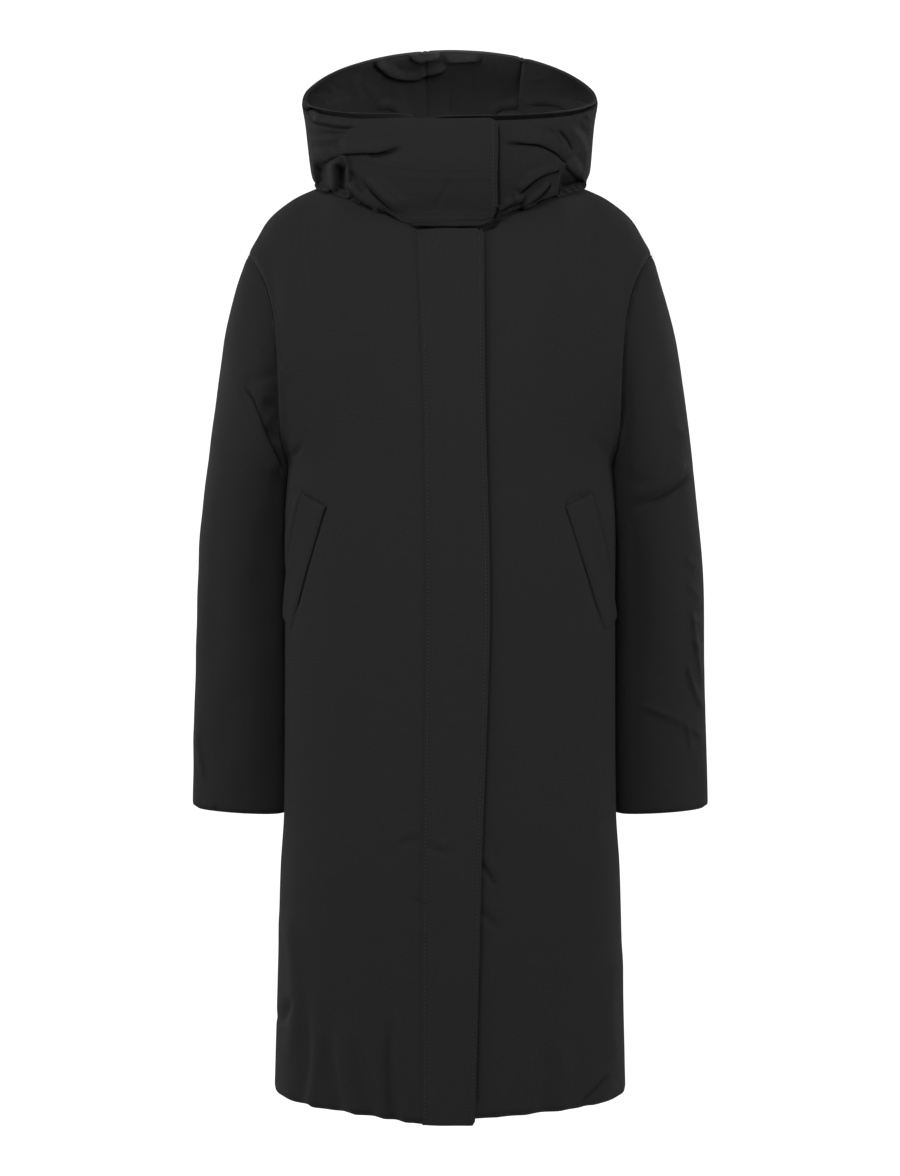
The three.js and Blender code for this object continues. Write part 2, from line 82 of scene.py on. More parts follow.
world = bpy.data.worlds.new("studio")
scene.world = world
world.use_nodes = True
seen_white = world.node_tree.nodes.new("ShaderNodeMapRange")
seen_white.inputs["To Min"].default_value = room_light
seen_white.inputs["To Max"].default_value = 1.0
seen_directly = world.node_tree.nodes.new("ShaderNodeLightPath")
world.node_tree.links.new(seen_directly.outputs["Is Camera Ray"], seen_white.inputs["Value"])
world.node_tree.links.new(seen_white.outputs[0], world.node_tree.nodes["Background"].inputs["Strength"])
world.node_tree.nodes["Background"].inputs["Color"].default_value = (1, 1, 1, 1)

# The sweep lies level and then curves up behind the coat: its height grows as a power of the way past its bend.
sweep_rows, sweep_columns, sweep_reach = 40, 12, 9
sweep_level, sweep_rise, sweep_bend, sweep_power = -1.45, 5.5, 0.5, 2.2
sweep_run = np.linspace(0, 1, sweep_rows)
sweep_y = np.interp(sweep_run, [0, sweep_bend, 0.8, 1], [-7, 3.2, 4.4, 4.6])
sweep_z = sweep_level + sweep_rise * np.clip((sweep_run - sweep_bend) / (1 - sweep_bend), 0, 1) ** sweep_power
sweep_x = np.linspace(-sweep_reach, sweep_reach, sweep_columns)
sweep_grid = np.stack(np.broadcast_arrays(sweep_x[None], sweep_y[:, None], sweep_z[:, None]), -1)
row, column = np.mgrid[0 : sweep_rows - 1, 0 : sweep_columns - 1]
corner = (row * sweep_columns + column).ravel()
sweep_faces = np.stack([corner, corner + 1, corner + sweep_columns + 1, corner + sweep_columns], 1)
sweep_mesh = bpy.data.meshes.new("sweep")
sweep_mesh.from_pydata(sweep_grid.reshape(-1, 3).tolist(), [], sweep_faces.tolist())
sweep_mesh.polygons.foreach_set("use_smooth", np.ones(len(corner), bool))
sweep = bpy.data.objects.new("sweep", sweep_mesh)
scene.collection.objects.link(sweep)
pale = bpy.data.materials.new("pale_sweep")
pale.use_nodes = True
pale_shader = pale.node_tree.nodes["Principled BSDF"]
pale_shader.inputs["Base Color"].default_value = (0.45, 0.45, 0.45, 1)
pale_shader.inputs["Roughness"].default_value = 0.9
pale_shader.inputs["Emission Color"].default_value = (1, 1, 1, 1)
floor_seen = pale.node_tree.nodes.new("ShaderNodeLightPath")
pale.node_tree.links.new(floor_seen.outputs["Is Camera Ray"], pale_shader.inputs["Emission Strength"])
sweep_mesh.materials.append(pale)

# The cloth: the shell is a tightly woven matte cloth in black with a dry touch, lightly padded; the hood's lining
# is a smoother cloth of nearly the same black. Both show a fine plain weave and very small unevenness up close.
# The sewing thread has a little more shine.


def wire(tree, kind, **values):
    """Adds a node and sets its properties, and its inputs where a key names one."""
    node = tree.nodes.new(kind)
    for key, value in values.items():
        if hasattr(node, key):
            setattr(node, key, value)
        else:
            node.inputs[key.replace("_", " ")].default_value = value
    return node


def reckon(tree, operation, *values):
    """Adds a Math node over one or two values, each a socket or a plain number, and gives its output."""
    node = wire(tree, "ShaderNodeMath", operation=operation)
    for socket, value in zip(node.inputs, values):
        if isinstance(value, bpy.types.NodeSocket):
            tree.links.new(value, socket)
        else:
            socket.default_value = value
    return node.outputs[0]


def weave_group():
    """Plain weave from the cloth's own measure in metres: height is the product of a sine along the warp and one
    along the weft. Tone and roughness also drift with soft noise, as dyed cloth does."""
    group = bpy.data.node_groups.new("plain_weave", "ShaderNodeTree")
    for name, kind, value in (
        ("Colour", "NodeSocketColor", (0.02, 0.02, 0.02, 1)),
        ("Threads per metre", "NodeSocketFloat", 1800.0),
        ("Weave height", "NodeSocketFloat", 0.0001),
        ("Rumple height", "NodeSocketFloat", 0.0008),
        ("Base roughness", "NodeSocketFloat", 0.8),
    ):
        socket = group.interface.new_socket(name, in_out="INPUT", socket_type=kind)
        socket.default_value = value
    for name, kind in (("Colour", "NodeSocketColor"), ("Roughness", "NodeSocketFloat"), ("Normal", "NodeSocketVector")):
        group.interface.new_socket(name, in_out="OUTPUT", socket_type=kind)
    given = group.nodes.new("NodeGroupInput").outputs
    result = group.nodes.new("NodeGroupOutput").inputs
    link = group.links.new
    measure = group.nodes.new("ShaderNodeSeparateXYZ")
    link(wire(group, "ShaderNodeUVMap", uv_map="cloth").outputs["UV"], measure.inputs[0])
    waves = []
    for axis in ("X", "Y"):
        threads = reckon(group, "MULTIPLY", measure.outputs[axis], given["Threads per metre"])
        waves.append(reckon(group, "SINE", reckon(group, "MULTIPLY", threads, np.pi)))
    place = group.nodes.new("ShaderNodeTexCoord").outputs["Object"]
    broad = wire(group, "ShaderNodeTexNoise", Scale=3.5, Detail=3.0)
    rumple = wire(group, "ShaderNodeTexNoise", Scale=38.0, Detail=4.0, Roughness=0.55)
    nap = wire(group, "ShaderNodeTexNoise", Scale=900.0, Detail=2.0)
    for noise in (broad, rumple, nap):
        link(place, noise.inputs["Vector"])
    tone = wire(group, "ShaderNodeMapRange", To_Min=0.9, To_Max=1.1)
    fleck = wire(group, "ShaderNodeMapRange", To_Min=0.8, To_Max=1.2)
    link(broad.outputs["Fac"], tone.inputs["Value"])
    link(nap.outputs["Fac"], fleck.inputs["Value"])
    tinted = wire(group, "ShaderNodeVectorMath", operation="SCALE")
    link(given["Colour"], tinted.inputs[0])
    link(reckon(group, "MULTIPLY", tone.outputs[0], fleck.outputs[0]), tinted.inputs["Scale"])
    link(tinted.outputs[0], result["Colour"])
    link(reckon(group, "MULTIPLY", tone.outputs[0], given["Base roughness"]), result["Roughness"])
    rumpled = group.nodes.new("ShaderNodeBump")
    link(rumple.outputs["Fac"], rumpled.inputs["Height"])
    link(given["Rumple height"], rumpled.inputs["Distance"])
    woven = group.nodes.new("ShaderNodeBump")
    link(reckon(group, "MULTIPLY", *waves), woven.inputs["Height"])
    link(given["Weave height"], woven.inputs["Distance"])
    link(rumpled.outputs["Normal"], woven.inputs["Normal"])
    link(woven.outputs["Normal"], result["Normal"])
    return group


plain_weave = weave_group()


def cloth_material(name, colour, roughness, sheen, rumple, threads):
    """A Principled cloth with a soft sheen, whose colour, roughness and normal come from the weave."""
    material = bpy.data.materials.new(name)
    material.use_nodes = True
    tree = material.node_tree
    shader = tree.nodes["Principled BSDF"]
    weave = tree.nodes.new("ShaderNodeGroup")
    weave.node_tree = plain_weave
    weave.inputs["Colour"].default_value = (*colour, 1)
    weave.inputs["Base roughness"].default_value = roughness
    weave.inputs["Rumple height"].default_value = rumple
    weave.inputs["Threads per metre"].default_value = threads
    for output, socket in (("Colour", "Base Color"), ("Roughness", "Roughness"), ("Normal", "Normal")):
        tree.links.new(weave.outputs[output], shader.inputs[socket])
    shader.inputs["Sheen Weight"].default_value = sheen
    shader.inputs["Sheen Roughness"].default_value = 0.45
    shader.inputs["Specular IOR Level"].default_value = 0.25
    return material


shell_cloth = cloth_material("shell_cloth", (0.0195, 0.0195, 0.0198), 0.78, 0.06, 0.0006, 1800)
lining_cloth = cloth_material("lining_cloth", (0.023, 0.023, 0.0235), 0.75, 0.08, 0.0005, 2200)
thread_black = cloth_material("thread_black", (0.05, 0.05, 0.051), 0.55, 0.15, 0.0001, 4000)

# The fronts and the back: three panels of padded cloth, sewn at the side seams and the shoulders, with the hem
# turned up and rolled. They are a straight tube below the arms and close over to the shoulder and neck seams above
# them. Sizes from here on are in millimetres.
millimetre = 0.001
shell_wall = 3.0
hem_level = -1075.0
underarm_level = -341.0
axis_top = -120
hem_drop = {"right": 13, "left": 6, "back": 4}
hem_drop_power = 6
section_power = 2.3
body_sections = {
    "level": [-1090, -900, -810, -744, -500, -390, -341],
    "half_width": [207, 201.5, 199, 195, 194, 194, 190],
    "front": [152, 151, 150.4, 150, 148, 147, 146],
    "back": [142, 137, 134.5, 133, 132, 136, 138],
}
neck_point = {"x": 131, "z": -3}
neck_depth = {"front": 98, "back": 88}
neck_drop = {"front": 67, "back": 5}
neck_share = 0.6
neck_bend = 1.6
chest = {"pull": 0.78, "lean": 60, "neck_approach": 0.75, "shoulder_slope": 0.34, "fullness": 14, "fullness_power": 4}
shoulder_seam = {"place": [0, 1, 2, 3, 4], "x": [131, 163, 190, 217, 238], "z": [-3, -14, -28, -52, -91]}
armhole = {"middle": -216, "half_height": 125, "reach": 199, "flare": 39, "tuck": 9, "front": 75, "back": 78}
armhole_power = {"flare": 5, "tuck": 12, "pull": 4}
armhole_cut = {"share": 0.245, "top": 0.3}
calm_margin = 40
body_waves = {"seed": 7, "height": 0.55, "longest": 320, "shortest": 60}
side_seam = {"dip": 1.4, "dip_width": 3.4, "swell": 2.2, "swell_at": 9, "swell_width": 7}
neck_dip = {"depth": 2.8, "width": 5, "full": 118, "none": 134}


def hermite(start, start_slope, end, end_slope, share):
    """A cubic from one value to another with a given slope at each end."""
    square, cube = share**2, share**3
    first = (2 * cube - 3 * square + 1) * start + (cube - 2 * square + share) * start_slope
    return first + (3 * square - 2 * cube) * end + (cube - square) * end_slope


def soften(low, high, value):
    """Maps a value to a share, 0..1, between two limits, with a soft start and end: share squared * (3 - 2 share)."""
    share = np.clip((value - low) / (high - low), 0, 1)
    return share * share * (3 - 2 * share)


def bell(distance, width):
    """A bell curve, 1 at no distance: e to the power of minus the square of distance / width."""
    return np.exp(-((distance / width) ** 2))


def read_table(table, key, column, place):
    """A smooth curve through a table's rows: cubics whose slope at a row comes from the rows on both sides of it."""
    keys, values = np.array(table[key], float), np.array(table[column], float)
    if keys[0] > keys[-1]:
        keys, values = keys[::-1], values[::-1]
    before = np.maximum(np.arange(len(keys)) - 1, 0)
    after = np.minimum(np.arange(len(keys)) + 1, len(keys) - 1)
    slopes = (values[after] - values[before]) / (keys[after] - keys[before])
    low = np.clip(np.searchsorted(keys, place, side="right") - 1, 0, len(keys) - 2)
    span = keys[low + 1] - keys[low]
    share = np.clip((place - keys[low]) / span, 0, 1)
    return hermite(values[low], slopes[low] * span, values[low + 1], slopes[low + 1] * span, share)


def body_section(face, turn, level):
    """The body below the arms: a rounded oval, |x / half width| ** power + |y / depth| ** power = 1."""
    half_width = read_table(body_sections, "level", "half_width", level)
    depth = read_table(body_sections, "level", face, level)
    across = np.abs(np.sin(turn) / half_width) ** section_power
    along = np.abs(np.cos(turn) / depth) ** section_power
    radius = (across + along) ** (-1 / section_power)
    way = -1 if face == "front" else 1
    return np.stack(np.broadcast_arrays(radius * np.sin(turn), way * radius * np.cos(turn), level), -1)


def neck_seam(face, turn):
    """The neck seam, an oval: x goes with the turn's sine and y with its cosine, and a power of the cosine lowers it
    at the centre. A quarter turn is the neck point."""
    way = -1 if face == "front" else 1
    x = neck_point["x"] * np.sin(turn)
    y = way * neck_depth[face] * np.maximum(np.cos(turn), 0)
    z = neck_point["z"] - neck_drop[face] * np.maximum(np.cos(turn), 0) ** neck_bend
    return np.stack(np.broadcast_arrays(x, y, z), -1)


def top_edge(face, across):
    """The neck seam up to the neck point, and from there the shoulder seam."""
    neck = neck_seam(face, np.minimum(across / neck_share, 1) * np.pi / 2)
    place = (across - neck_share) / (1 - neck_share) * 4
    x = read_table(shoulder_seam, "place", "x", place)
    z = read_table(shoulder_seam, "place", "z", place)
    shoulder = np.stack([x, 0 * x, z], -1)
    return np.where((across <= neck_share)[..., None], neck, shoulder)


def armhole_edge(face, rise):
    """An upright oval, half a turn of it for each face. High powers of the height flare its top out to the shoulder
    point and tuck its foot in under the arm."""
    high = -np.cos(np.pi * rise)
    flare = armhole["flare"] * ((1 + high) / 2) ** armhole_power["flare"]
    tuck = armhole["tuck"] * ((1 - high) / 2) ** armhole_power["tuck"]
    way = -1 if face == "front" else 1
    y = way * armhole[face] * np.sin(np.pi * rise)
    return np.stack([armhole["reach"] + flare - tuck, y, armhole["middle"] + armhole["half_height"] * high], -1)


def chest_column(face, across, rise):
    """A cubic from the underarm section to the top edge, upright at the chest and leaning over at the top."""
    start = body_section(face, across * np.pi / 2, np.full_like(across, underarm_level))
    end = top_edge(face, across)
    share = (1 - np.cos(np.pi * rise)) / 2
    neck_turn = np.minimum(across / neck_share, 1) * np.pi / 2
    lean = np.radians(chest["lean"]) * np.maximum(np.cos(neck_turn), 0) ** neck_bend
    height = end[..., 2] - start[..., 2]
    pull = height * chest["pull"]
    near_neck = np.where(across < neck_share, np.sin(neck_turn) ** 2, 1 - soften(neck_share, 1, across))
    inward = chest["neck_approach"] * near_neck
    full = chest["fullness"] * 27 / 4 * across**2 * (1 - across) * np.sin(np.pi * share) ** chest["fullness_power"]
    way = -1 if face == "front" else 1
    x = hermite(start[..., 0], 0, end[..., 0], -pull * inward, share)
    y = hermite(start[..., 1], 0, end[..., 1], -way * pull * np.cos(lean), share) + way * full
    z = hermite(start[..., 2], height, end[..., 2], pull * (np.sin(lean) + inward * chest["shoulder_slope"]), share)
    return np.stack([x, y, z], -1)


def body_point(face, across, up, drop):
    """A panel's surface on the left half: up runs 0..1 from the hem to the underarm and 1..2 on to the top edge.
    Above the underarm a column is the chest's, moved by a power of across to end on the armhole's edge."""
    across, up = np.broadcast_arrays(np.asarray(across, float), np.asarray(up, float))
    turn = across * np.pi / 2
    foot = hem_level - drop * np.cos(turn) ** hem_drop_power
    lower = body_section(face, turn, foot + (underarm_level - foot) * np.minimum(up, 1))
    rise = np.maximum(up - 1, 0)
    share = 1 - armhole_cut["share"] * np.sin(np.pi * rise) * (1 - soften(armhole_cut["top"], 1, rise))
    shift = armhole_edge(face, rise) - chest_column(face, share, rise)
    upper = chest_column(face, across * share, rise) + shift * (across ** armhole_power["pull"])[..., None]
    return np.where((up <= 1)[..., None], lower, upper)


def grid_normals(grid, inside, wraps=False):
    """Unit normals, the cross product of a grid's slopes along its rows and columns, turned to point away from the
    inside points. A corner takes the normal from two cells in."""
    if wraps:
        along = np.roll(grid, -1, 1) - np.roll(grid, 1, 1)
    else:
        along = np.gradient(grid, axis=1)
    normals = np.cross(along, np.gradient(grid, axis=0))
    normals /= np.maximum(np.linalg.norm(normals, axis=-1, keepdims=True), 1e-9)
    if not wraps:
        normals[[0, 0, -1, -1], [0, -1, 0, -1]] = normals[[2, 2, -3, -3], [2, -3, 2, -3]]
    outward = (normals * (grid - inside)).sum()
    return normals if outward > 0 else -normals


def body_axis(grid):
    """The points on the coat's middle line that a body panel's cloth faces away from."""
    return np.stack([0 * grid[..., 0], 0 * grid[..., 1], np.minimum(grid[..., 2], axis_top)], -1)


def edge_distances(grid, wraps=False):
    """How far each point lies from each edge of its grid, measured along the cloth."""
    rows = np.linalg.norm(np.diff(grid, axis=0), axis=-1)
    low = np.concatenate([np.zeros((1, grid.shape[1])), np.cumsum(rows, 0)])
    distances = {"low": low, "high": low[-1] - low}
    if not wraps:
        columns = np.linalg.norm(np.diff(grid, axis=1), axis=-1)
        left = np.concatenate([np.zeros((grid.shape[0], 1)), np.cumsum(columns, 1)], 1)
        distances |= {"left": left, "right": left[:, -1:] - left}
    return distances


def shape_edges(grid, normals, sewn="", rolled="", wraps=False, depth=1.8, reach=3.2, roll=4.0):
    """Draws a sewn edge down into its seam, as a bell of the distance to it, and turns a rolled edge in on a
    quarter circle."""
    height = np.zeros(grid.shape[:2])
    from_rolled = np.full(grid.shape[:2], np.inf)
    for side, distance in edge_distances(grid, wraps).items():
        if side in sewn:
            height -= depth * bell(distance, reach)
        if side in rolled:
            from_rolled = np.minimum(from_rolled, distance)
    height -= roll * (1 - np.sqrt(1 - np.clip(1 - from_rolled / roll, 0, 1) ** 2))
    return grid + height[..., None] * normals


def smooth_path(path):
    """Evenly spaced points on a smooth curve through a few given ones."""
    path = np.array(path, float)
    count = 28
    place = np.linspace(0, len(path) - 1, count)
    table = {"place": np.arange(len(path)), "u": path[:, 0], "v": path[:, 1]}
    if len(path) == 2:
        return path[0] + (path[1] - path[0]) * np.linspace(0, 1, count)[:, None]
    return np.stack([read_table(table, "place", axis, place) for axis in "uv"], -1)


def seen_from_front(grid):
    """Where each point shows in the front view, in millimetres on the coat's middle plane."""
    scale = view_distance * 1000 / (view_distance * 1000 + grid[..., 1])
    level = view_level * 1000
    return grid[..., 0] * scale, (grid[..., 2] - level) * scale + level


def fold(width, height, *path, lip=0, sink=0, fade=(0.22, 0.22), power=2):
    """One fold: its half width, its height, up or down, the (across, level) points of its line, the length of its
    lip and the depth beneath it, the shares of the line over which its ends fade, and the power of its bell."""
    return {"width": width, "height": height, "path": path, "lip": lip, "sink": sink, "fade": fade, "power": power}


# The section of a fold with a lip, in half widths of the fold: where its crest and its hollow lie, and their widths.
crest, hollow = {"at": 0.4, "width": 1.1}, {"at": -1.6, "width": 0.75}


def shape_folds(grid, push, folds, seen=seen_from_front):
    """Presses folds into a surface, along the push directions. Each follows a line in the view it is seen in, and
    its ends fade. A plain fold is a bell of the distance to its line. One with a lip is also drawn across its line by
    the lip's length, so that the cloth on the line's left hangs over the cloth on its right, which sinks beneath it."""
    u, v = seen(grid)
    shaped = grid.copy()
    push = np.broadcast_to(push, grid.shape)
    for each in folds:
        path = smooth_path(each["path"])
        width, lip = each["width"], each["lip"]
        reach = 3 * width + 2 * lip
        near = (u > path[:, 0].min() - reach) & (u < path[:, 0].max() + reach)
        near &= (v > path[:, 1].min() - reach) & (v < path[:, 1].max() + reach)
        spot = np.stack([u[near], v[near]], -1)
        if not len(spot):
            continue
        start, run = path[:-1], np.diff(path, axis=0)
        square = (run**2).sum(-1)
        along = ((spot[:, None] - start) * run).sum(-1) / square
        held = np.clip(along, 0, 1)
        away = spot[:, None] - start - held[..., None] * run
        distance = np.hypot(away[..., 0], away[..., 1])
        best = distance.argmin(1)
        pick = np.arange(len(spot))
        way = run[best] / np.sqrt(square[best])[:, None]
        aside = way[:, 0] * away[pick, best, 1] - way[:, 1] * away[pick, best, 0]
        aside = np.copysign(distance[pick, best], aside)
        progress = (best + held[pick, best]) / len(run)
        opens, closes = np.maximum(each["fade"], 0.001)
        fade = soften(-0.01, opens, progress) * (1 - soften(1 - closes, 1.01, progress))
        if lip:
            across = (aside - lip) / width
            height = each["height"] * bell(across - crest["at"], crest["width"])
            height -= each["sink"] * bell(across - hollow["at"], hollow["width"])
            over = np.stack([way[:, 1], 0 * best, -way[:, 0]], -1)
            over -= push[near] * (over * push[near]).sum(-1, keepdims=True)
            shaped[near] += over * (fade * lip * bell(across, 1))[:, None]
        else:
            height = each["height"] * np.exp(-(np.abs(aside / width) ** each["power"]))
        shaped[near] += push[near] * (fade * height)[:, None]
    return shaped


def soft_waves(grid, seed, height, longest, shortest, upright=0.25):
    """Slow unevenness of padded cloth: a sum of sines with seeded directions and phases, mostly upright ones. A
    shorter wave is lower in proportion."""
    chance = np.random.default_rng(seed)
    total = np.zeros(grid.shape[:2])
    wave_count = 7
    for length in np.geomspace(longest, shortest, wave_count):
        angle = chance.uniform(0, 2 * np.pi)
        way = np.array([np.cos(angle), np.sin(angle), upright * chance.normal()])
        total += length / longest * np.sin(grid @ way * 2 * np.pi / length + chance.uniform(0, 2 * np.pi))
    return height * total


def cloth_measure(grid, wraps=False):
    """The cloth's own coordinates in metres: the length along each row from its middle, and up each column."""
    closed = np.concatenate([grid, grid[:, :1]], 1) if wraps else grid
    columns = np.linalg.norm(np.diff(closed, axis=1), axis=-1)
    across = np.concatenate([np.zeros((len(grid), 1)), np.cumsum(columns, 1)], 1)
    across -= across[:, [closed.shape[1] // 2]]
    rows = np.linalg.norm(np.diff(closed, axis=0), axis=-1)
    up = np.concatenate([np.zeros((1, closed.shape[1])), np.cumsum(rows, 0)])
    return np.stack([across, up], -1) * millimetre


rim_angles = [30, 60, 90, 120, 150]


def make_cloth(name, outer, inside, wall, material, free="", wraps=False):
    """A closed wall: the outer grid, the same grid moved in by the wall, and a rim between them round the edge,
    a half circle where the edge is free and flat where it is sewn. Returns the object."""
    rows, columns = outer.shape[:2]
    normals = grid_normals(outer, inside, wraps)
    inner = outer - wall * normals
    measure = cloth_measure(outer, wraps)
    width = measure.shape[1]
    r, c = np.mgrid[0 : rows - 1, 0 : columns if wraps else columns - 1]
    around = (c + 1) % columns
    quads = np.stack([r * columns + c, r * columns + around, (r + 1) * columns + around, (r + 1) * columns + c], -1)
    marks = np.stack([r * width + c, r * width + c + 1, (r + 1) * width + c + 1, (r + 1) * width + c], -1)
    quads, marks = quads.reshape(-1, 4), marks.reshape(-1, 4)
    faces = [quads, quads[:, ::-1] + rows * columns]
    uv_faces = [marks, marks[:, ::-1]]
    points = [outer.reshape(-1, 3), inner.reshape(-1, 3)]
    count = 2 * rows * columns
    span = np.arange(columns)
    if wraps:
        rims = [("low", span, -np.ones(columns)), ("high", span + (rows - 1) * columns, np.ones(columns))]
    else:
        lift = np.arange(1, rows)
        ring = np.concatenate(
            [span, lift * columns + columns - 1, (rows - 1) * columns + span[::-1][1:], (lift * columns)[::-1][1:]]
        )
        rims = [("all", ring, None)]
    for side, ring, way in rims:
        ring_row, ring_column = ring // columns, ring % columns
        out = np.zeros((len(ring), 3))
        flat_out, flat_inner, flat_normal = outer.reshape(-1, 3), inner.reshape(-1, 3), normals.reshape(-1, 3)
        for edge, on, beside in (
            ("low", ring_row == 0, columns),
            ("high", ring_row == rows - 1, -columns),
            ("left", (ring_column == 0) & (not wraps), 1),
            ("right", (ring_column == columns - 1) & (not wraps), -1),
        ):
            if edge in free and on.any() and side in (edge, "all"):
                step = flat_out[ring[on]] - flat_out[ring[on] + beside]
                out[on] += step / np.maximum(np.linalg.norm(step, axis=-1, keepdims=True), 1e-9)
        length = np.linalg.norm(out, axis=-1, keepdims=True)
        out = np.where(length > 1, out / np.maximum(length, 1e-9), out)
        middle = (flat_out[ring] + flat_inner[ring]) / 2
        half = wall / 2
        layers = [ring]
        for angle in np.radians(rim_angles):
            points.append(middle + half * (np.cos(angle) * flat_normal[ring] + np.sin(angle) * out))
            layers.append(count + np.arange(len(ring)))
            count += len(ring)
        layers.append(ring + rows * columns)
        marked = ring_row * width + ring_column
        for upper, lower in zip(layers, layers[1:]):
            faces.append(np.stack([upper, lower, np.roll(lower, -1), np.roll(upper, -1)], -1))
            uv_faces.append(np.stack([marked, marked, np.roll(marked, -1), np.roll(marked, -1)], -1))
            if way is not None and way[0] > 0:
                faces[-1], uv_faces[-1] = faces[-1][:, ::-1], uv_faces[-1][:, ::-1]
    corners = np.cross(outer[1:, 1:] - outer[:-1, :-1], outer[1:, :-1] - outer[:-1, 1:])
    if (corners * normals[:-1, :-1]).sum() < 0:
        faces = [part[:, ::-1] for part in faces]
        uv_faces = [part[:, ::-1] for part in uv_faces]
    faces, uv_faces = np.concatenate(faces), np.concatenate(uv_faces)
    mesh = bpy.data.meshes.new(name)
    mesh.from_pydata((np.concatenate(points) * millimetre).tolist(), [], faces.tolist())
    layer = mesh.uv_layers.new(name="cloth")
    layer.data.foreach_set("uv", measure.reshape(-1, 2)[uv_faces.ravel()].ravel())
    mesh.polygons.foreach_set("use_smooth", np.ones(len(faces), bool))
    mesh.materials.append(material)
    mesh.update()
    piece = bpy.data.objects.new(name, mesh)
    scene.collection.objects.link(piece)
    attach(piece, "root")
    return piece


def seen_from_back(grid):
    """Where each point lies across and up the back."""
    return grid[..., 0], grid[..., 2]


front_folds = [
    fold(3.5, 1.4, (-77, -796), (-65, -783), (-50, -773), (-30, -769)),
    fold(3, -1.2, (-62, -790), (-46, -781), (-30, -784)),
    fold(3, -1.5, (-30, -789), (-18, -793), (2, -800)),
    fold(3.5, 1.1, (-30, -776), (-16, -781), (2, -791)),
    fold(3.5, -1.5, (-48, -852), (-35, -856), (-26, -862)),
    fold(4, 1.4, (-40, -884), (-34, -888), (-28, -896)),
    fold(9, 4.2, (-196, -860), (-184, -920), (-182, -990), (-190, -1050)),
    fold(6, -5, (-202, -998), (-194, -985), (-184, -964), fade=(0.3, 0.4)),
    fold(8, -4.4, (-176, -960), (-170, -1010), (-172, -1060), (-180, -1096), fade=(0.4, 0)),
    fold(8, 4.0, (-160, -940), (-156, -1000), (-158, -1050), (-164, -1100), fade=(0.4, 0)),
    fold(7, -3.6, (-146, -1000), (-142, -1050), (-132, -1106), fade=(0.4, 0)),
    fold(6, 5.0, (-134, -985), (-126, -1050), (-112, -1110), fade=(0.4, 0)),
    fold(7, -3.8, (-116, -1000), (-108, -1060), (-94, -1108), fade=(0.4, 0)),
    fold(6, 3.0, (-92, -1040), (-84, -1080), (-78, -1112), fade=(0.4, 0)),
    fold(6, 4.4, (-56, -960), (-60, -1030), (-54, -1070), (-52, -1114), fade=(0.4, 0)),
    fold(7, -4.2, (-68, -985), (-71, -1050), (-66, -1112), fade=(0.4, 0)),
    fold(5, 3, (192, -1062), (178, -1079), (156, -1100), lip=3, sink=6),
    fold(9, 3.0, (197, -900), (190, -980), (192, -1050)),
    fold(8, 3.4, (92, -1020), (94, -1070), (90, -1108), fade=(0.4, 0)),
    fold(9, -3.0, (112, -1000), (116, -1060), (112, -1108), fade=(0.4, 0)),
    fold(8, 3.2, (134, -1010), (138, -1060), (132, -1104), fade=(0.4, 0)),
    fold(6, 1.8, (58, -1060), (60, -1086), (56, -1110), fade=(0.4, 0)),
    fold(4.5, -3.0, (-187, -331), (-180, -322), (-169, -310), fade=(0.2, 0.6)),
    fold(6, 2.0, (-200, -222), (-192, -226), (-186, -240)),
    fold(1.5, -2.6, (-147, -386), (-165, -377.5), (-183, -369), fade=(0.02, 0.02)),
    fold(1.6, -1.2, (-183, -374), (-190, -396), (-195, -420)),
    fold(1.5, -2.6, (138, -381.5), (152, -375.5), (166.5, -369.5), fade=(0.02, 0.02)),
    fold(7, -1.8, (187, -331), (178, -318), (164, -306), fade=(0.2, 0.6)),
    fold(26, -1.6, (-120, -470), (-96, -600), (-102, -760)),
    fold(26, -1.6, (118, -480), (104, -640), (112, -800)),
    fold(24, -2.2, (-140, -820), (-128, -930), (-134, -1040)),
    fold(24, -2.2, (150, -800), (158, -900), (152, -1010)),
    fold(30, -1.8, (92, -760), (84, -900), (90, -1040)),
]
mouth_folds = [
    fold(4, 1.6, (38, -802), (47, -816), (62, -840), lip=2, sink=3.4, fade=(0, 0.4)),
    fold(4, -3.2, (38, -868), (50, -879), (63, -893), fade=(0, 0.4)),
    fold(2, -2.6, (-147, -388), (-160, -430), (-172, -474), (-182, -512), fade=(0, 0.1)),
    fold(2, -2.6, (138, -385), (152, -430), (168, -490), (181, -540), fade=(0, 0.1)),
    fold(4, -8, (-50, -57), (0, -60), (34, -60), (50, -55), (62, -46), fade=(0.1, 0.2)),
    fold(2, -4, (-174, -371), (-182, -400), (-189, -440), (-194, -480), (-196, -514), fade=(0.02, 0.1)),
    fold(2, -4, (167, -371), (177, -408), (185, -450), (191, -490), (194, -520), fade=(0.02, 0.1)),
    fold(1.8, -2.6, (41, -66), (41.5, -110), (42.5, -180), (43.5, -280), (45.5, -400), (47.5, -497), (45, -600),
         (42.5, -680), (38.5, -780), (36.5, -900), (33.5, -970), (31, -1090), fade=(0, 0)),
]
back_folds = [
    fold(13, -3.0, (-168, -300), (-176, -350), (-186, -390)),
    fold(13, -3.0, (166, -290), (176, -345), (187, -384)),
    fold(16, -2.0, (-60, -90), (0, -104), (64, -88)),
    fold(30, -2.4, (-70, -480), (-62, -700), (-74, -960)),
    fold(32, -2.4, (54, -520), (66, -760), (60, -1010)),
    fold(26, -2.0, (-132, -620), (-140, -820), (-136, -1060)),
    fold(26, -2.0, (128, -580), (138, -840), (142, -1050)),
    fold(10, 2.2, (-96, -1020), (-98, -1060), (-94, -1090)),
    fold(11, 2.0, (-30, -1030), (-28, -1062), (-34, -1092)),
    fold(10, 2.2, (88, -1024), (92, -1062), (90, -1092)),
    fold(8, -1.4, (14, -640), (30, -655), (52, -658)),
]


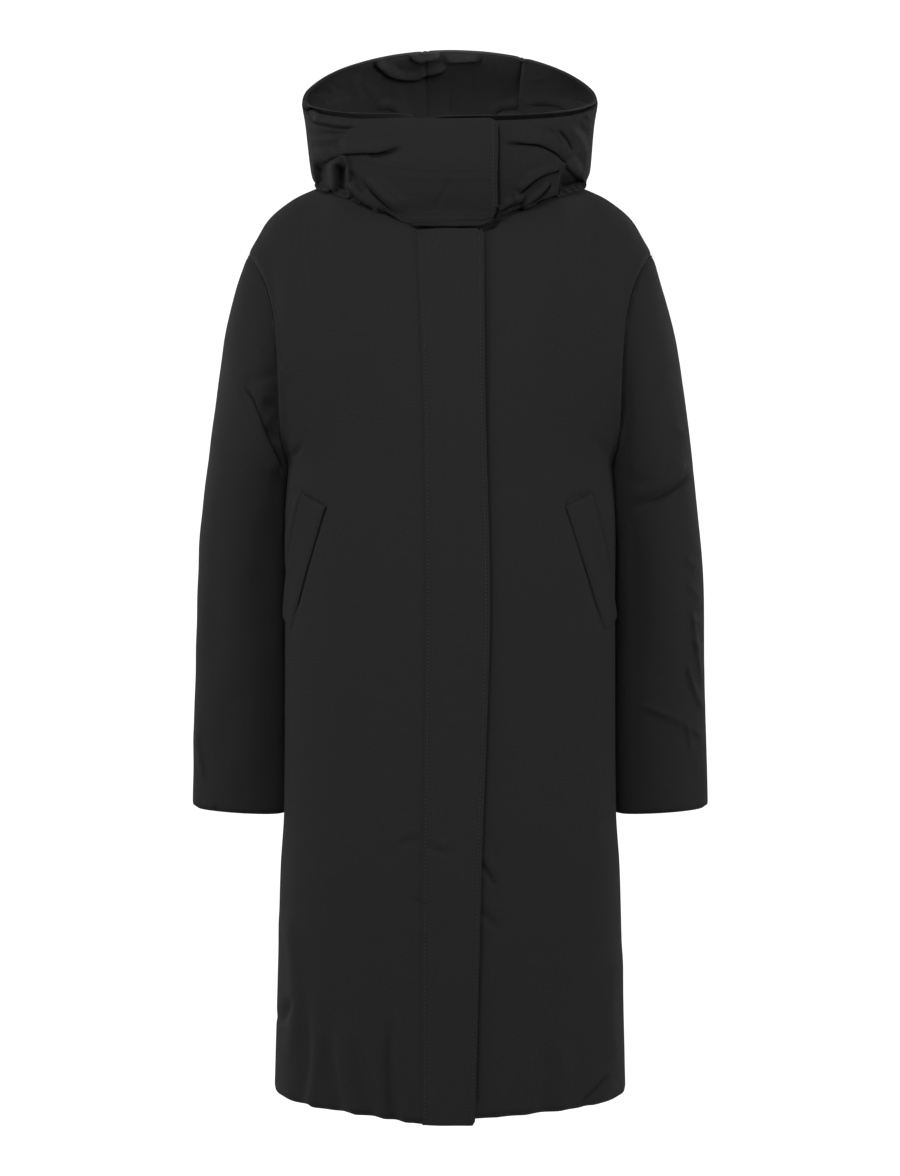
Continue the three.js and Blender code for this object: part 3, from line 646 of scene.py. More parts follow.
def relax(grid, weight, steps):
    """Evens out a surface where the weight is above nothing: each step moves a point towards the mean of its four
    neighbours. The grid's edges stay where they are."""
    grid = grid.copy()
    inner = weight[1:-1, 1:-1, None] * 0.5
    for _ in range(steps):
        mean = (grid[2:, 1:-1] + grid[:-2, 1:-1] + grid[1:-1, 2:] + grid[1:-1, :-2]) / 4
        grid[1:-1, 1:-1] += inner * (mean - grid[1:-1, 1:-1])
    return grid


shoulder_relax = {"from": 0.86, "full": 1.02, "steps": 90, "neck_width": 0.12, "neck_steps": 320}


def body_grid(face, across, drop, lower=170, upper=90):
    """A panel's points, from the hem to the top edge, with a minus sign on across for the right half. Above the
    underarm they are evened out, and once more round the neck point."""
    up = np.concatenate([np.linspace(0, 1, lower), np.linspace(1, 2, upper)[1:]])
    grid = body_point(face, np.abs(across)[None], up[:, None], drop)
    grid[..., 0] *= np.where(across < 0, -1, 1)
    weight = np.broadcast_to(soften(shoulder_relax["from"], shoulder_relax["full"], up)[:, None], grid.shape[:2])
    grid = relax(grid, weight, shoulder_relax["steps"])
    near_neck = bell(np.abs(across) - neck_share, shoulder_relax["neck_width"])
    return relax(grid, weight * near_neck, shoulder_relax["neck_steps"])


def finish_body(grid, folds, seen, sewn):
    """Adds the slow waves, the folds and the shaped edges to a body panel. Beside the armhole and the side seam the
    cloth dips into the seam and swells next to it, each as a bell of the distance; at the front neck it dips."""
    normals = grid_normals(grid, body_axis(grid))
    edges = edge_distances(grid)
    calm = soften(0, calm_margin, np.minimum.reduce([edges[side] for side in edges if side != "low"]))
    grid = grid + (soft_waves(grid, **body_waves) * calm)[..., None] * normals
    grid = shape_folds(grid, normals, folds, seen)
    from_side = np.minimum.reduce([edges[side] for side in ("left", "right") if side in sewn])
    near_neck = 1 - soften(neck_dip["full"], neck_dip["none"], np.abs(grid[..., 0]))
    facing = np.abs(normals[..., 1])
    seam = facing * bell(from_side, side_seam["dip_width"]) * side_seam["dip"]
    seam -= facing * bell(from_side - side_seam["swell_at"], side_seam["swell_width"]) * side_seam["swell"]
    in_front = grid[..., 1] < 0
    seam += neck_dip["depth"] * near_neck * in_front * bell(edges["high"], neck_dip["width"])
    grid = grid - seam[..., None] * normals
    return shape_edges(grid, normals, sewn=sewn, rolled="low", depth=1.2, reach=2.6, roll=8)


panels = {
    "front_right": (
        body_grid("front", np.linspace(-1, 0, 104), hem_drop["right"]), front_folds + mouth_folds, "left high"
    ),
    "front_left": (
        body_grid("front", np.linspace(0, 1, 104), hem_drop["left"]), front_folds + mouth_folds, "right high"
    ),
    "back": (
        body_grid("back", np.linspace(-1, 1, 112), hem_drop["back"], lower=130, upper=76), back_folds, "left right high"
    ),
}
for name, (grid, folds, sewn) in panels.items():
    seen = seen_from_back if name == "back" else seen_from_front
    shaped = finish_body(grid, folds, seen, sewn)
    free = "low" if name == "back" else "low left" if name == "front_right" else "low right"
    piece = make_cloth(name + "_cloth", shaped, body_axis(shaped), shell_wall, shell_cloth, free=free)
    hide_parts(name)

# The sleeves: two long tubes of the shell cloth, set into the armholes, with the cuffs turned in on a soft roll.
# They hang straight down beside the body, set back a little, and break into a few folds under the arm.
sleeve_outer = {
    "level": [-91, -121, -180, -286, -427, -569, -744],
    "x": [238, 251.5, 265, 282, 297, 303, 305.5],
}
sleeve_inner = {"level": [-341, -356, -400, -500, -751], "x": [190, 192, 193.4, 193.8, 194.4]}
cuff_half_depth = 50
sleeve_back = {"distance": 22, "reached": 0.3}
sleeve_row_power = 1.15
armhole_fade = 0.16
under_arm_ease = {"inward": 6.5, "reached": 0.12, "power": 1.5, "from": 8, "to": 52}
sleeve_seam = {"dip": 0.2, "more_at_top": 0.9, "dip_width": 5, "hollow": 8.0, "hollow_width": 28}
under_arm_swell = {"height": 4.5, "at": 10, "width": 16, "full": -320, "none": -270}
sleeve_right_folds = [
    fold(4, 4, (-197, -350), (-205, -330), (-215, -309), (-225, -283), (-234, -260), (-243, -238), lip=8, sink=8,
         fade=(0.15, 0.25)),
    fold(8, -7, (-216, -256), (-211, -290), (-207, -318)),
    fold(5, 4, (-221, -296), (-214, -286), (-210, -272)),
    fold(6, -2.6, (-243, -240), (-226, -237), (-208, -232), fade=(0.2, 0)),
    fold(14, -2.4, (-214, -390), (-222, -470), (-218, -560)),
    fold(3.5, 5, (-300, -648), (-298, -675), (-290, -713)),
    fold(4, 3, (-292, -735), (-284, -740), (-276, -742)),
    fold(12, -1.8, (-282, -470), (-276, -520), (-280, -580)),
    fold(14, -1.8, (-250, -600), (-262, -640), (-258, -690)),
]
sleeve_left_folds = [
    fold(6, 5, (206, -384), (226, -379), (243, -371), (262, -358), (275, -346), (284, -334), lip=3, sink=7,
         fade=(0.5, 0.25)),
    fold(5, -2.0, (203, -354), (222, -357), (246, -358)),
    fold(5, -1.4, (262, -226), (272, -240), (284, -252)),
    fold(3, 3.6, (222, -620), (246, -630), (262, -637), (280, -646), (296, -656)),
    fold(3, 3, (279, -644), (283, -660), (285, -678)),
    fold(3, 5, (286, -510), (292, -556), (298, -600)),
    fold(3.2, 5.5, (279, -569), (289, -604), (300, -630)),
    fold(3.5, 4, (284, -648), (291, -654), (300, -662)),
    fold(4, 3, (278, -446), (286, -456), (293, -460)),
    fold(4, 3.5, (280, -476), (288, -488), (296, -496)),
    fold(4, 3.5, (282, -512), (290, -522), (298, -532)),
    fold(4, 3, (284, -540), (292, -552), (299, -558)),
    fold(5, 2.5, (262, -286), (272, -300), (280, -304)),
    fold(14, -2.2, (214, -420), (222, -500), (216, -590)),
]
sleeve_back_folds = [
    fold(6, 3, (208, -300), (226, -330), (250, -352), lip=4, sink=4),
    fold(9, 3.0, (210, -330), (232, -362), (262, -384)),
    fold(14, -2.4, (228, -430), (240, -500), (236, -580)),
    fold(12, -2.0, (262, -560), (270, -620), (258, -680)),
    fold(7, 1.8, (214, -640), (236, -652), (266, -648)),
]
sleeve_tuck_rows = 3
sleeve_tuck = {"closing": [0, 0.06, 0.04], "inward": [8, 0, 0]}
toward_front = np.array([0.0, -1.0, 0.0])


def sleeve_grid(columns=120, rows=196):
    """The left sleeve: ovals across its outer and inner lines, with x and z going with the turn's cosine and y with
    its sine, blended at the top into the armhole itself. Three more rows tuck its end into the body."""
    step = np.interp(np.arange(columns), [0, columns * 0.7, columns], [0, 0.5, 1])[None]
    down = (np.linspace(0, 1, rows) ** sleeve_row_power)[:, None]
    step, down = np.broadcast_arrays(step, down)
    front = step <= 0.5
    rise = 1 - 2 * np.where(front, step, 1 - step)
    seam = np.where(front[..., None], armhole_edge("front", rise), armhole_edge("back", rise))
    outer_level, inner_level = (
        line["level"][0] + (line["level"][-1] - line["level"][0]) * down for line in (sleeve_outer, sleeve_inner)
    )
    turn = 2 * np.pi * step
    share = (1 + np.cos(turn)) / 2
    x = read_table(sleeve_inner, "level", "x", inner_level) * (1 - share)
    x = x + read_table(sleeve_outer, "level", "x", outer_level) * share
    z = inner_level * (1 - share) + outer_level * share
    top_depth = np.where(front, armhole["front"], armhole["back"])
    half_depth = top_depth + (cuff_half_depth - top_depth) * soften(0, 1, down)
    y = -half_depth * np.sin(turn) + sleeve_back["distance"] * soften(0, sleeve_back["reached"], down)
    ring = np.stack([x, y, z], -1)
    ease = under_arm_ease
    inward = ease["inward"] * soften(0, ease["reached"], down) * (1 - share) ** ease["power"]
    ring[..., 0] -= inward * soften(ease["from"], ease["to"], y)
    grid = seam + (ring - seam) * soften(0, armhole_fade, down)[..., None]
    under = np.linspace(1, 0, sleeve_tuck_rows, endpoint=False)[:, None, None]
    middle = np.array([armhole["reach"], 0, armhole["middle"]])
    tucked = grid[:1] + (middle - grid[:1]) * under * sleeve_tuck["closing"] - under * sleeve_tuck["inward"]
    return np.concatenate([tucked, grid])


def ring_middles(grid):
    """The middle of each ring, spread over its points."""
    return np.broadcast_to(grid.mean(1, keepdims=True), grid.shape)


out_of_reach = 1e5


def seen_between(near, far, seen=seen_from_front, side=1):
    """The same view with only the points whose depth, y, lies between two limits; the rest are put out of reach."""

    def view(grid):
        """Across and up in the view, with across moved far off where the point doesn't show."""
        u, v = seen(grid)
        shown = (grid[..., 1] > near) & (grid[..., 1] < far)
        return np.where(shown, u * side, out_of_reach), v

    return view


for side, name, folds, seed in (
    (-1, "sleeve_right", sleeve_right_folds, 21),
    (1, "sleeve_left", sleeve_left_folds, 22),
):
    grid = sleeve_grid()
    grid[..., 0] *= side
    normals = grid_normals(grid, ring_middles(grid), True)
    normals[:sleeve_tuck_rows] = normals[sleeve_tuck_rows + 1]
    normals[sleeve_tuck_rows] = normals[sleeve_tuck_rows + 1]
    from_seam = edge_distances(grid, True)["low"]
    from_seam = np.maximum(from_seam - from_seam[sleeve_tuck_rows], 0)
    calm = soften(0, 45, from_seam)
    in_front = np.clip(-normals[..., 1], 0, 1)
    height = soft_waves(grid, seed, 0.6, 260, 50, 0.5) * calm
    high = soften(-300, -200, grid[..., 2])
    dip = sleeve_seam["dip"] + sleeve_seam["more_at_top"] * high
    hollowed = sleeve_seam["hollow"] * in_front * bell(from_seam, sleeve_seam["hollow_width"])
    height -= dip * bell(from_seam, sleeve_seam["dip_width"]) + hollowed
    swell = under_arm_swell
    under_arm = np.clip(-side * normals[..., 0], 0, 1) * (1 - soften(swell["full"], swell["none"], grid[..., 2]))
    height += swell["height"] * under_arm * bell(from_seam - swell["at"], swell["width"])
    grid = grid + height[..., None] * normals
    grid = shape_folds(grid, toward_front, folds, seen_between(-np.inf, 30))
    grid = shape_folds(grid, -toward_front, sleeve_back_folds, seen_between(18, np.inf, seen_from_back, side))
    grid = shape_edges(grid, normals, rolled="high", wraps=True, roll=6)
    piece = make_cloth(name + "_cloth", grid, ring_middles(grid), shell_wall, shell_cloth, free="high", wraps=True)
    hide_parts(name)

# The hood: two sides and a strip over the crown, padded like the body and lined, and sewn to the neck seam. The
# right side runs on across the throat as a flap. The hood stands up as a wide funnel: its front folds over itself,
# and its back hangs as a bag.
hood_rings = {
    "place": [1, 2, 3, 4, 5, 6],
    "half_width": [158.5, 165, 168.5, 172, 175, 175],
    "front": [102, 109, 116, 118, 117, 114],
    "back": [110, 150, 190, 203, 160, 57],
    "front_level": [-50, -38, -15, 15, 37, 47],
    "side_level": [-9.5, 9, 40, 66, 84, 92],
    "back_level": [-7, -12, 24, 84, 147, 165.5],
}
hood_seams = {"right": -170, "left": 150}
hood_rows = 96
hood_waves = {"seed": 33, "height": 0.7, "longest": 200, "shortest": 36, "upright": 0.8}
hood_relax_steps = 140
neck_tuck = {"depth": 0.6, "width": 5}
flap_reach = 53
flap_foot = -70.5
flap_lift = {"height": 6.8, "from": -42, "full": -12}
flap_sag = {"most": 40, "from": -30, "full": -18, "up": 0.55}
flap_starts, flap_full, flap_ends_before = -26, -18, 40
flap_corner = {"low": 25, "high": 11}
flap_groove = {"depth": 1.0, "at": 4, "width": 1.2}
flap_stitch_cell = 3
lining_wall = 1.5
lining_space = 1.0
hood_folds = [
    fold(4, 4, (-150, 14), (-139, 23), (-126, 27.5), (-111, 29), (-94, 29.5), (-73, 30), (-50, 32), lip=9, sink=10,
         fade=(0.12, 0.3)),
    fold(5, -4, (-98, 26), (-78, 27), (-56, 29)),
    fold(5, 8, (-165, 34), (-164, 14), (-161, -14), fade=(0.6, 0)),
    fold(6.5, -20, (-153, 22), (-152, 4), (-151, -26), fade=(0.3, 0)),
    fold(5, -26, (-129, 18), (-128, 6), (-127, -26), power=2.6, fade=(0.2, 0)),
    fold(4, 5, (-140, 18), (-140, 4), (-139, -12), fade=(0.2, 0)),
    fold(2.4, 7, (-136, 25), (-126, 24), (-121, 16), (-120, 2), (-119, -8), fade=(0.2, 0.2)),
    fold(3.2, 4, (-102, 1), (-92, -12), (-78, -26), (-54, -46), lip=3, sink=7, fade=(0.3, 0.3)),
    fold(3, 4, (-122, -8), (-106, -26), (-89, -36), (-80, -44), lip=3, sink=8, fade=(0.1, 0.3)),
    fold(3.5, -5, (-118, 8), (-108, -6), (-96, -20)),
    fold(6, 2.5, (-90, 2), (-70, -18), (-48, -36)),
    fold(3.5, -1.3, (3, 2), (-9, -20), (-22, -43)),
    fold(3, 3, (-168, 72), (-152, 66), (-132, 62), (-108, 60), lip=3, sink=5),
    fold(3.5, -4.5, (-172, 60), (-156, 54), (-136, 52), (-116, 53)),
    fold(3.5, 4, (-170, 48), (-150, 45), (-128, 46)),
    fold(4, -3, (-167, 36), (-147, 36), (-124, 38)),
    fold(3, -4, (-172, 88), (-166, 78), (-158, 70)),
    fold(4, 4, (60, 35), (81, 40.5), (103, 39.5), (117, 34), (129, 26), (137, 15), lip=8, sink=9, fade=(0.3, 0.12)),
    fold(3.5, 4, (135, 16), (147, 6), (164, -6), lip=5, sink=10, fade=(0.2, 0)),
    fold(14, -40, (128, -7), (142, -9), (158, -12), power=3.4, fade=(0.1, 0.25)),
    fold(2.6, 3, (57, -39), (71, -31), (82, -27.5), (90, -20), lip=3, sink=7, fade=(0.05, 0.3)),
    fold(2.8, 4, (80, -20), (92, -9), (104, 0), (117, 6), (130, 9), lip=5, sink=9, fade=(0.15, 0.1)),
    fold(2.6, 3.5, (84, -35), (95, -29), (108, -19), (119, -7), lip=4, sink=8, fade=(0.15, 0.1)),
    fold(2.4, 4, (80, -15), (77.5, -22), (83, -28)),
    fold(3.5, 3, (128, 60), (140, 46), (148, 30), lip=3, sink=5),
    fold(4, 4, (140, 62), (156, 42), (166, 16)),
    fold(3.5, -5, (149, 68), (162, 50), (170, 28)),
    fold(3.5, -4, (146, 30), (155, 20), (160, 4)),
    fold(3, 4, (158, 78), (167, 66), (173, 50)),
    fold(3.5, -2.5, (112, 58), (124, 50), (134, 40)),
]
hood_back_folds = [
    fold(12, -5, (-120, 20), (-60, 2), (0, -2), (66, 4), (124, 24)),
    fold(14, -3.5, (-96, 96), (-30, 84), (40, 88), (102, 100)),
    fold(10, 3.5, (-130, 70), (-96, 44), (-70, 10)),
    fold(10, 3.5, (128, 66), (98, 40), (72, 8)),
]
lining_folds = [
    fold(3.5, 2.6, (-92, 137), (-83, 130), (-72, 121), (-57, 117), (-40, 116), (-32, 120), (-14, 124), (-6, 131),
         (-10, 143), lip=5, sink=2.6, fade=(0.1, 0.1)),
    fold(3, 1.9, (-52, 146), (-40, 138), (-29, 137), (-17, 141), (-10, 146), lip=5, sink=2.4),
    fold(3, 1.9, (-10, 143), (0, 137), (17, 137), (28, 138), (34, 136), (42, 146), lip=5, sink=2.4),
    fold(3, 3.4, (70, 121), (76, 123), (86, 121)),
    fold(3, 3.4, (88, 120), (100, 116), (114, 121), (128, 121)),
    fold(3.5, 3.4, (51, 71), (57, 80), (68, 83), (86, 83), lip=4, sink=3),
    fold(3.5, 3.4, (88, 88), (103, 88), (120, 88), (138, 83), (149, 74), lip=4, sink=3),
    fold(3, 3.4, (-155, 107), (-143, 108), (-140, 100), (-147, 91), (-149, 80)),
    fold(4, 4.2, (-89, 79), (-74, 83), (-63, 77), (-57, 68), lip=4, sink=3),
    fold(7, 3.4, (-69, 108), (-57, 88), (-53, 66)),
    fold(5, 3.4, (13, 132), (14, 100), (12, 66)),
    fold(4, 3, (25, 128), (26, 100), (25, 66)),
    fold(6, -3.4, (-3, 124), (0, 100), (2, 66)),
    fold(8, 3, (44, 130), (56, 112), (60, 90)),
    fold(8, 3, (-120, 128), (-112, 110), (-108, 88)),
    fold(5, 2.5, (112, 112), (120, 104), (136, 102)),
    fold(6, 2.5, (-104, 118), (-96, 104), (-86, 100)),
    fold(2.6, 3, (-168, 88), (-156, 92), (-146, 90)),
    fold(3, -3, (-166, 96), (-154, 102), (-138, 100)),
    fold(3, 3, (-140, 118), (-132, 112), (-118, 110)),
    fold(2.6, -3, (-128, 126), (-112, 122), (-100, 124)),
    fold(2.6, -3, (-66, 140), (-60, 128), (-46, 126)),
    fold(2.4, 3, (-30, 150), (-26, 140), (-14, 134)),
    fold(2.6, 3, (20, 148), (24, 140), (22, 128)),
    fold(2.6, -3, (50, 142), (56, 132), (52, 122)),
    fold(2.6, 3, (82, 134), (88, 126), (86, 116)),
    fold(3, -3, (104, 128), (114, 116), (132, 112)),
    fold(3, 3, (142, 112), (152, 102), (166, 98)),
    fold(2.6, -3, (150, 96), (160, 90), (170, 88)),
]
under_flap = [
    fold(3.4, -6, (54, 64), (54, 20), (55, -20), (53, -38), (46, -52), (34, -62), fade=(0.05, 0)),
]


def hood_point(turn, up):
    """The hood's outer surface: rings from the neck seam (up 0) to the rim (up 1), each an oval whose level
    tilts from front to back. The turn is measured from the centre front towards the wearer's left."""
    turn, up = np.broadcast_arrays(np.asarray(turn, float), np.asarray(up, float))
    front = np.cos(turn) > 0
    quarter = np.arcsin(np.clip(np.abs(np.sin(turn)), 0, 1))
    seam = np.where(front[..., None], neck_seam("front", quarter), neck_seam("back", quarter))
    rings = [np.stack([seam[..., 0] * np.where(np.sin(turn) < 0, -1, 1), seam[..., 1], seam[..., 2] + 0.3], -1)]
    for width, fore, aft, low, side, high in zip(*list(hood_rings.values())[1:]):
        tilt, bow = (low - high) / 2, (low + high) / 2 - side
        depth = np.where(front, fore, aft)
        level = side + tilt * np.cos(turn) + bow * np.cos(turn) ** 2
        rings.append(np.stack([width * np.sin(turn), -depth * np.cos(turn), level], -1))
    rings = np.stack(rings)
    last = len(rings) - 1
    slopes = (rings[np.minimum(np.arange(last + 1) + 1, last)] - rings[np.maximum(np.arange(last + 1) - 1, 0)]) / 2
    slopes[0] *= 2
    slopes[-1] *= 2
    place = up * last
    low = np.clip(place.astype(int), 0, last - 1)
    r, c = np.indices(low.shape)
    share = (place - low)[..., None]
    return hermite(rings[low, r, c], slopes[low, r, c], rings[low + 1, r, c], slopes[low + 1, r, c], share)


def hood_inside(grid):
    """Points well inside the hood, which its cloth faces away from."""
    return np.stack([grid[..., 0] / 2, 35 + 0 * grid[..., 1], np.maximum(grid[..., 2] / 3, 28)], -1)


def hood_surface(turns, folds):
    """A part of the hood with its waves and folds, before its edges are shaped. Turns are in degrees, per row. The
    flap's stretch of the right side is lifted clear of the left side, and its foot sags to the flap's lower edge."""
    up = np.linspace(0, 1, hood_rows)[:, None]
    grid = hood_point(np.radians(turns), up)
    normals = grid_normals(grid, hood_inside(grid))
    calm = soften(0, 0.2, up) * (1 - 0.5 * soften(0.8, 1, up))
    has_flap = turns[:, -1:] < flap_ends_before
    lift = flap_lift["height"] * soften(flap_lift["from"], flap_lift["full"], turns) * has_flap
    grid = grid + (lift + soft_waves(grid, **hood_waves) * calm)[..., None] * normals
    sag = soften(flap_sag["up"], 0, up) * soften(flap_sag["from"], flap_sag["full"], turns) * has_flap
    foot = grid[0, :, 2] - flap_foot
    grid[..., 2] -= sag * np.clip(foot, 0, flap_sag["most"])[None]
    grid = relax(grid, np.ones(grid.shape[:2]), hood_relax_steps)
    facing = grid_normals(grid, hood_inside(grid))[..., 1]
    at_front = soften(25, -45, grid[..., 1]) * soften(0.02, 0.28, np.abs(facing))
    grid = shape_folds(grid, toward_front * at_front[..., None], folds, seen_between(-np.inf, 30))
    return shape_folds(grid, normals, hood_back_folds, seen_between(40, np.inf, seen_from_back))


def round_corner(grid, sides, radius):
    """Rounds the corner between two edges: inside a square of that size, the square is pressed into a quarter disc.
    With a and b running 0..1 towards the edges, a becomes a * root(1 - b squared / 2), and b the same way."""
    distances = edge_distances(grid)
    first, second = (distances[side] for side in sides)
    a, b = np.clip(1 - first / radius, 0, 1), np.clip(1 - second / radius, 0, 1)
    shift = [radius * (a - a * np.sqrt(1 - b**2 / 2)), radius * (b - b * np.sqrt(1 - a**2 / 2))]
    rows, columns = np.gradient(grid, axis=0), np.gradient(grid, axis=1)
    ways = {"low": rows, "high": -rows, "left": columns, "right": -columns}
    for side, distance in zip(sides, shift):
        way = ways[side] / np.maximum(np.linalg.norm(ways[side], axis=-1, keepdims=True), 1e-9)
        grid = grid + distance[..., None] * way
    return grid


hood_side_x = hood_point(np.pi / 2, np.linspace(0, 1, hood_rows)[:, None])[:, 0, 0]
flap_end = np.degrees(np.arcsin(flap_reach / hood_side_x))
share = np.interp(np.linspace(0, 1, 236), [0, 0.18, 1], [0, 0.36, 1])[None]
left_turns = np.interp(np.linspace(0, 1, 196), [0, 0.84, 1], [-10, 100, hood_seams["left"]])
hood_parts = {
    "side_right": hood_seams["right"] + (flap_end[:, None] - hood_seams["right"]) * share,
    "side_left": np.repeat(left_turns[None], hood_rows, 0),
    "centre": np.repeat(np.linspace(hood_seams["left"], hood_seams["right"] + 360, 44)[None], hood_rows, 0),
}
lining_turns = {
    "side_right": np.interp(np.linspace(0, 1, 134), [0, 0.82, 1], [hood_seams["right"], -80, -14]),
    "side_left": np.interp(np.linspace(0, 1, 114), [0, 0.2, 1], [-10, 80, hood_seams["left"]]),
    "centre": np.linspace(hood_seams["left"], hood_seams["right"] + 360, 60),
}
hood_sewn = {"side_right": "low left", "side_left": "low right", "centre": "low left right"}
for part, turns in hood_parts.items():
    grid = hood_surface(turns, hood_folds + (under_flap if part == "side_left" else []))
    normals = grid_normals(grid, hood_inside(grid))
    free = "high right" if part == "side_right" else "high"
    if part == "side_right":
        for side, radius in flap_corner.items():
            grid = round_corner(grid, (side, "right"), radius)
    outer = shape_edges(grid, normals, sewn=hood_sewn[part], rolled=free, depth=1.8, reach=4, roll=3)
    from_neck = edge_distances(grid)["low"]
    sewn_on = np.where(turns > flap_starts, turns[:, -1:] > flap_ends_before, True)
    tucked_in = neck_tuck["depth"] * bell(from_neck, neck_tuck["width"]) * sewn_on
    outer = outer - tucked_in[..., None] * normals
    if part == "side_right":
        free = "low high right"
        edges = edge_distances(outer)
        beyond_flap = 60 * (1 - soften(flap_starts, flap_full, turns))
        flap_edge = np.minimum(edges["right"], edges["low"] + beyond_flap)
        groove = flap_groove["depth"] * bell(flap_edge - flap_groove["at"], flap_groove["width"])
        outer = outer - groove[..., None] * normals
        first = int(np.searchsorted(turns[0], flap_starts))
        cell, last = flap_stitch_cell, -flap_stitch_cell - 1
        flap_path, flap_way = (np.concatenate([of[cell, first:last], of[cell:last, last]]) for of in (outer, normals))
    piece = make_cloth(f"hood_{part}_cloth", outer, hood_inside(outer), shell_wall, shell_cloth, free=free)
    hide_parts(f"hood_{part}")

    lined = hood_surface(np.repeat(lining_turns[part][None], hood_rows, 0), hood_folds)
    backed = lined - (shell_wall + lining_space) * grid_normals(lined, hood_inside(lined))
    backed = shape_folds(backed, toward_front, lining_folds, seen_between(-30, np.inf))
    backed = shape_edges(backed, grid_normals(backed, hood_inside(backed)), sewn="left right", depth=-1.5, reach=2.5)
    lining_name = "hood_lining_" + part.replace("side_", "")
    lining = make_cloth(lining_name + "_cloth", backed, hood_inside(backed), lining_wall, lining_cloth, free="high")
    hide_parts(lining_name)

# The fly placket: a double strip of shell cloth down the centre front that hides the zip. Its wearer's-right edge
# is sewn to the right front with a lapped, topstitched seam; its other edge is free, with a row of topstitching
# beside it. The flap's edge is stitched in the same way.
placket_edges = {
    "level": [-1090, -970, -780, -650, -497, -280, -74],
    "sewn": [-31, -32, -31, -29, -28, -30, -38],
    "free": [28, 31, 36, 41, 45, 40, 39],
}
placket_top, placket_bottom = -74.5, -1085
placket_columns, placket_rows = 36, 330
placket_wall = 2.6
placket_lift = {"seam": 0.9, "middle": 3.8, "more_at_edge": 1.4}
placket_corner = {"high": 13, "low": 5}
placket_stitch_columns = (5, -7)
# Each row of topstitching draws a groove: its depth, its distance from the edge and its half width.
placket_grooves = {"right": (1.1, 4.6, 1.2), "left": (1.0, 3.6, 1.3)}


def front_at(x, level, drop):
    """Finds the point of the front at a place in the front view, by Newton's steps in across and up."""
    across = np.full(x.shape, 0.1)
    up = np.where(level < underarm_level, 0.5, 1.5)
    small = 1e-4
    for _ in range(12):
        point = body_point("front", across, up, drop)
        miss_x, miss_z = np.abs(x) - point[..., 0], level - point[..., 2]
        sideways = (body_point("front", across + small, up, drop) - point) / small
        upwards = (body_point("front", across, up + small, drop) - point) / small
        area = sideways[..., 0] * upwards[..., 2] - sideways[..., 2] * upwards[..., 0]
        across = across + (miss_x * upwards[..., 2] - miss_z * upwards[..., 0]) / area
        up = up + np.clip((miss_z * sideways[..., 0] - miss_x * sideways[..., 2]) / area, -0.4, 0.4)
        across = np.clip(across, 0, 0.99)
    point = body_point("front", across, up, drop)
    point[..., 0] *= np.sign(x)
    return point


thread_half_width = 0.42
stitch_half_length = 1.5
stitch_pitch = 4.4


def make_stitches(name, paths, ways):
    """Sews rows of stitches. Each is a short thread of six sides whose ends dip into the cloth. The paths run
    along the cloth's surface, and the ways point out of it."""
    sides, rings = 6, ((-1, 0.35, -0.35), (-0.6, 1, 0.1), (0.6, 1, 0.1), (1, 0.35, -0.35))
    points, rows_of_stitches = [], []
    for path, way in zip(paths, ways):
        run = np.concatenate([[0], np.cumsum(np.linalg.norm(np.diff(path, axis=0), axis=-1))])
        spots = np.arange(stitch_pitch / 2, run[-1], stitch_pitch)
        curves = (path, way, np.stack([np.gradient(path[:, axis], run) for axis in range(3)], -1))
        middle, lift, along = (
            np.stack([np.interp(spots, run, curve[:, axis]) for axis in range(3)], -1) for curve in curves
        )
        along /= np.linalg.norm(along, axis=-1, keepdims=True)
        side = np.cross(along, lift)
        rows_of_stitches.append((len(points), len(spots)))
        for place, girth, rise in rings:
            centre = middle + along * place * stitch_half_length + lift * rise
            for angle in np.arange(sides) * 2 * np.pi / sides:
                out = np.cos(angle) * lift + np.sin(angle) * side
                points.append(centre + out * girth * thread_half_width)
    starts = np.concatenate([[0], np.cumsum([len(part) for part in points])])
    faces = []
    for first, count in rows_of_stitches:
        for low in range(first, first + (len(rings) - 1) * sides, sides):
            for step in range(sides):
                after, high = (step + 1) % sides, low + sides
                corners = [starts[low + step], starts[high + step], starts[high + after], starts[low + after]]
                faces.append(np.arange(count)[:, None] + np.array(corners))
    mesh = bpy.data.meshes.new(name)
    points, faces = np.concatenate(points) * millimetre, np.concatenate(faces)
    mesh.from_pydata(points.tolist(), [], faces.tolist())
    layer = mesh.uv_layers.new(name="cloth")
    layer.data.foreach_set("uv", points[faces.ravel()][:, [0, 2]].ravel())
    mesh.polygons.foreach_set("use_smooth", np.ones(len(mesh.polygons), bool))
    mesh.materials.append(thread_black)
    mesh.update()
    piece = bpy.data.objects.new(name, mesh)
    scene.collection.objects.link(piece)
    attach(piece, "root")
    return piece


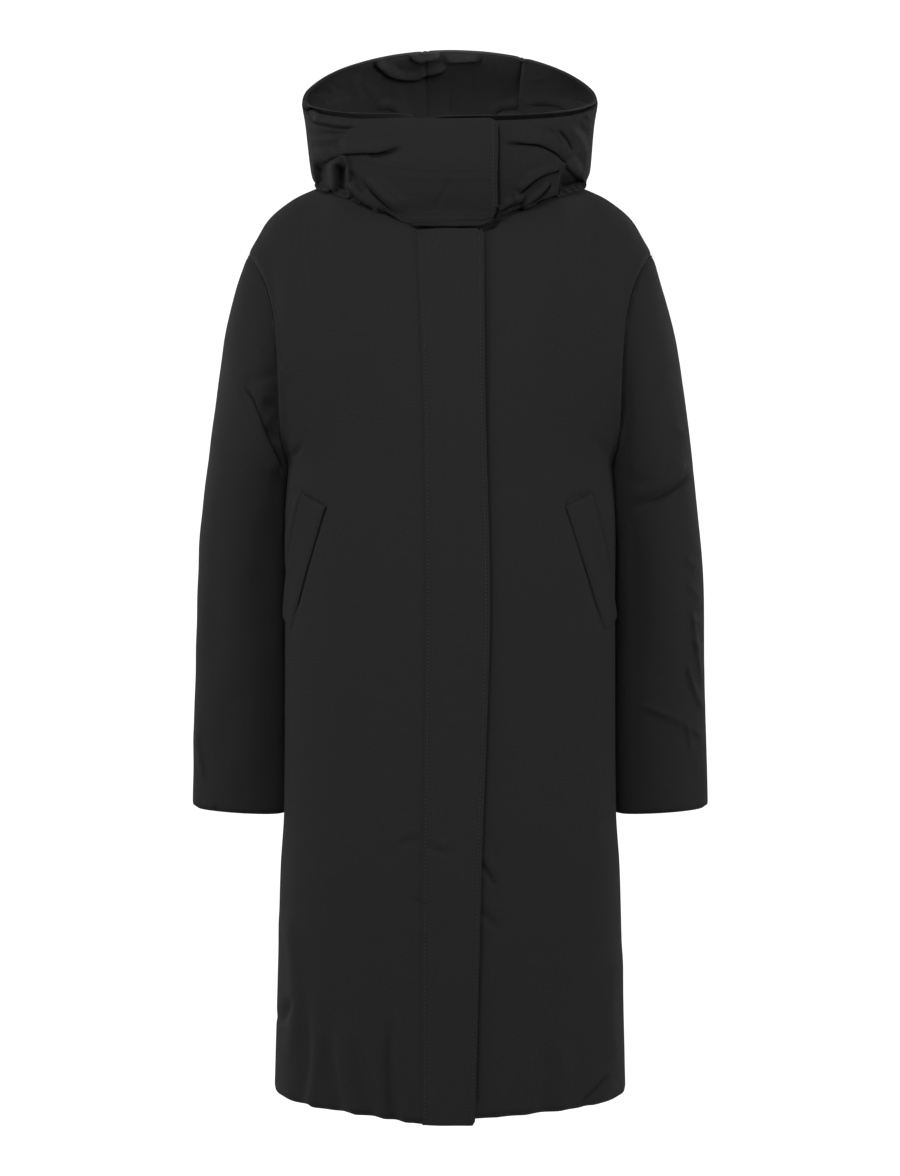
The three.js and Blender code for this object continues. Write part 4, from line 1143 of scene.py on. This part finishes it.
placket_share = (1 - np.cos(np.pi * np.linspace(0, 1, placket_columns)[None])) / 2
placket_level = np.linspace(placket_bottom, placket_top, placket_rows)[:, None]
sewn_x = read_table(placket_edges, "level", "sewn", placket_level)
free_x = read_table(placket_edges, "level", "free", placket_level)
grid = front_at(sewn_x + (free_x - sewn_x) * placket_share, placket_level + 0 * placket_share, hem_drop["right"])
normals = grid_normals(grid, body_axis(grid))
grid = grid + soft_waves(grid, **body_waves)[..., None] * normals
lift = placket_lift["seam"] + (placket_lift["middle"] - placket_lift["seam"]) * soften(0, 0.4, placket_share)
lift = lift + placket_lift["more_at_edge"] * soften(0.7, 1, placket_share)
grid = shape_folds(grid + lift[..., None] * normals, normals, front_folds)
normals = grid_normals(grid, body_axis(grid))
distances = edge_distances(grid)
topstitch = sum(-depth * bell(distances[side] - at, width) for side, (depth, at, width) in placket_grooves.items())
grid = grid + topstitch[..., None] * normals
for side, radius in placket_corner.items():
    grid = round_corner(grid, (side, "right"), radius)
grid = shape_edges(grid, normals, rolled="high right", roll=2.2)
placket = make_cloth("placket_cloth", grid, body_axis(grid), placket_wall, shell_cloth, free="low high right")
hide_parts("placket")
normals = grid_normals(grid, body_axis(grid))
flap_stitches = make_stitches("flap_stitches", [flap_path], [flap_way])
seam_lines, seam_ways = ([of[2:-2, column] for column in placket_stitch_columns] for of in (grid, normals))
placket_stitches = make_stitches("placket_stitches", seam_lines, seam_ways)

# The pocket welts: two slanted strips of folded shell cloth at the hips. The inner edge and both ends are sewn
# down, and the outer edge is the pocket's mouth. The inner edge follows a line round the body, level by level.
welt_line = {"level": [-391, -436, -468, -506, -534], "turn": [52, 57.5, 62, 67.5, 72.5]}
welt_turn, welt_rise, welt_wall = 11.5, 15, 1.8
welt_lift = {"inner": 1.5, "more_at_mouth": 1.8}
welt_columns, welt_rows = 26, 90
for side, name, turned_in in ((-1, "pocket_welt_right", 0), (1, "pocket_welt_left", 3.5)):
    share = np.linspace(0, 1, welt_columns)[None]
    level = np.linspace(welt_line["level"][-1], welt_line["level"][0], welt_rows)[:, None]
    turn = read_table(welt_line, "level", "turn", level) + welt_turn * share - turned_in
    grid = body_section("front", np.radians(turn), level + welt_rise * share)
    grid[..., 0] *= side
    normals = grid_normals(grid, body_axis(grid))
    lift = welt_lift["inner"] + welt_lift["more_at_mouth"] * soften(0.45, 1, share)
    grid = grid + (soft_waves(grid, **body_waves) + lift)[..., None] * normals
    normals = grid_normals(grid, body_axis(grid))
    grid = shape_edges(grid, normals, sewn="left low high", rolled="right", depth=1.4, reach=2.5, roll=1.2)
    welt = make_cloth(name + "_cloth", grid, body_axis(grid), welt_wall, shell_cloth, free="right")
    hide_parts(name)
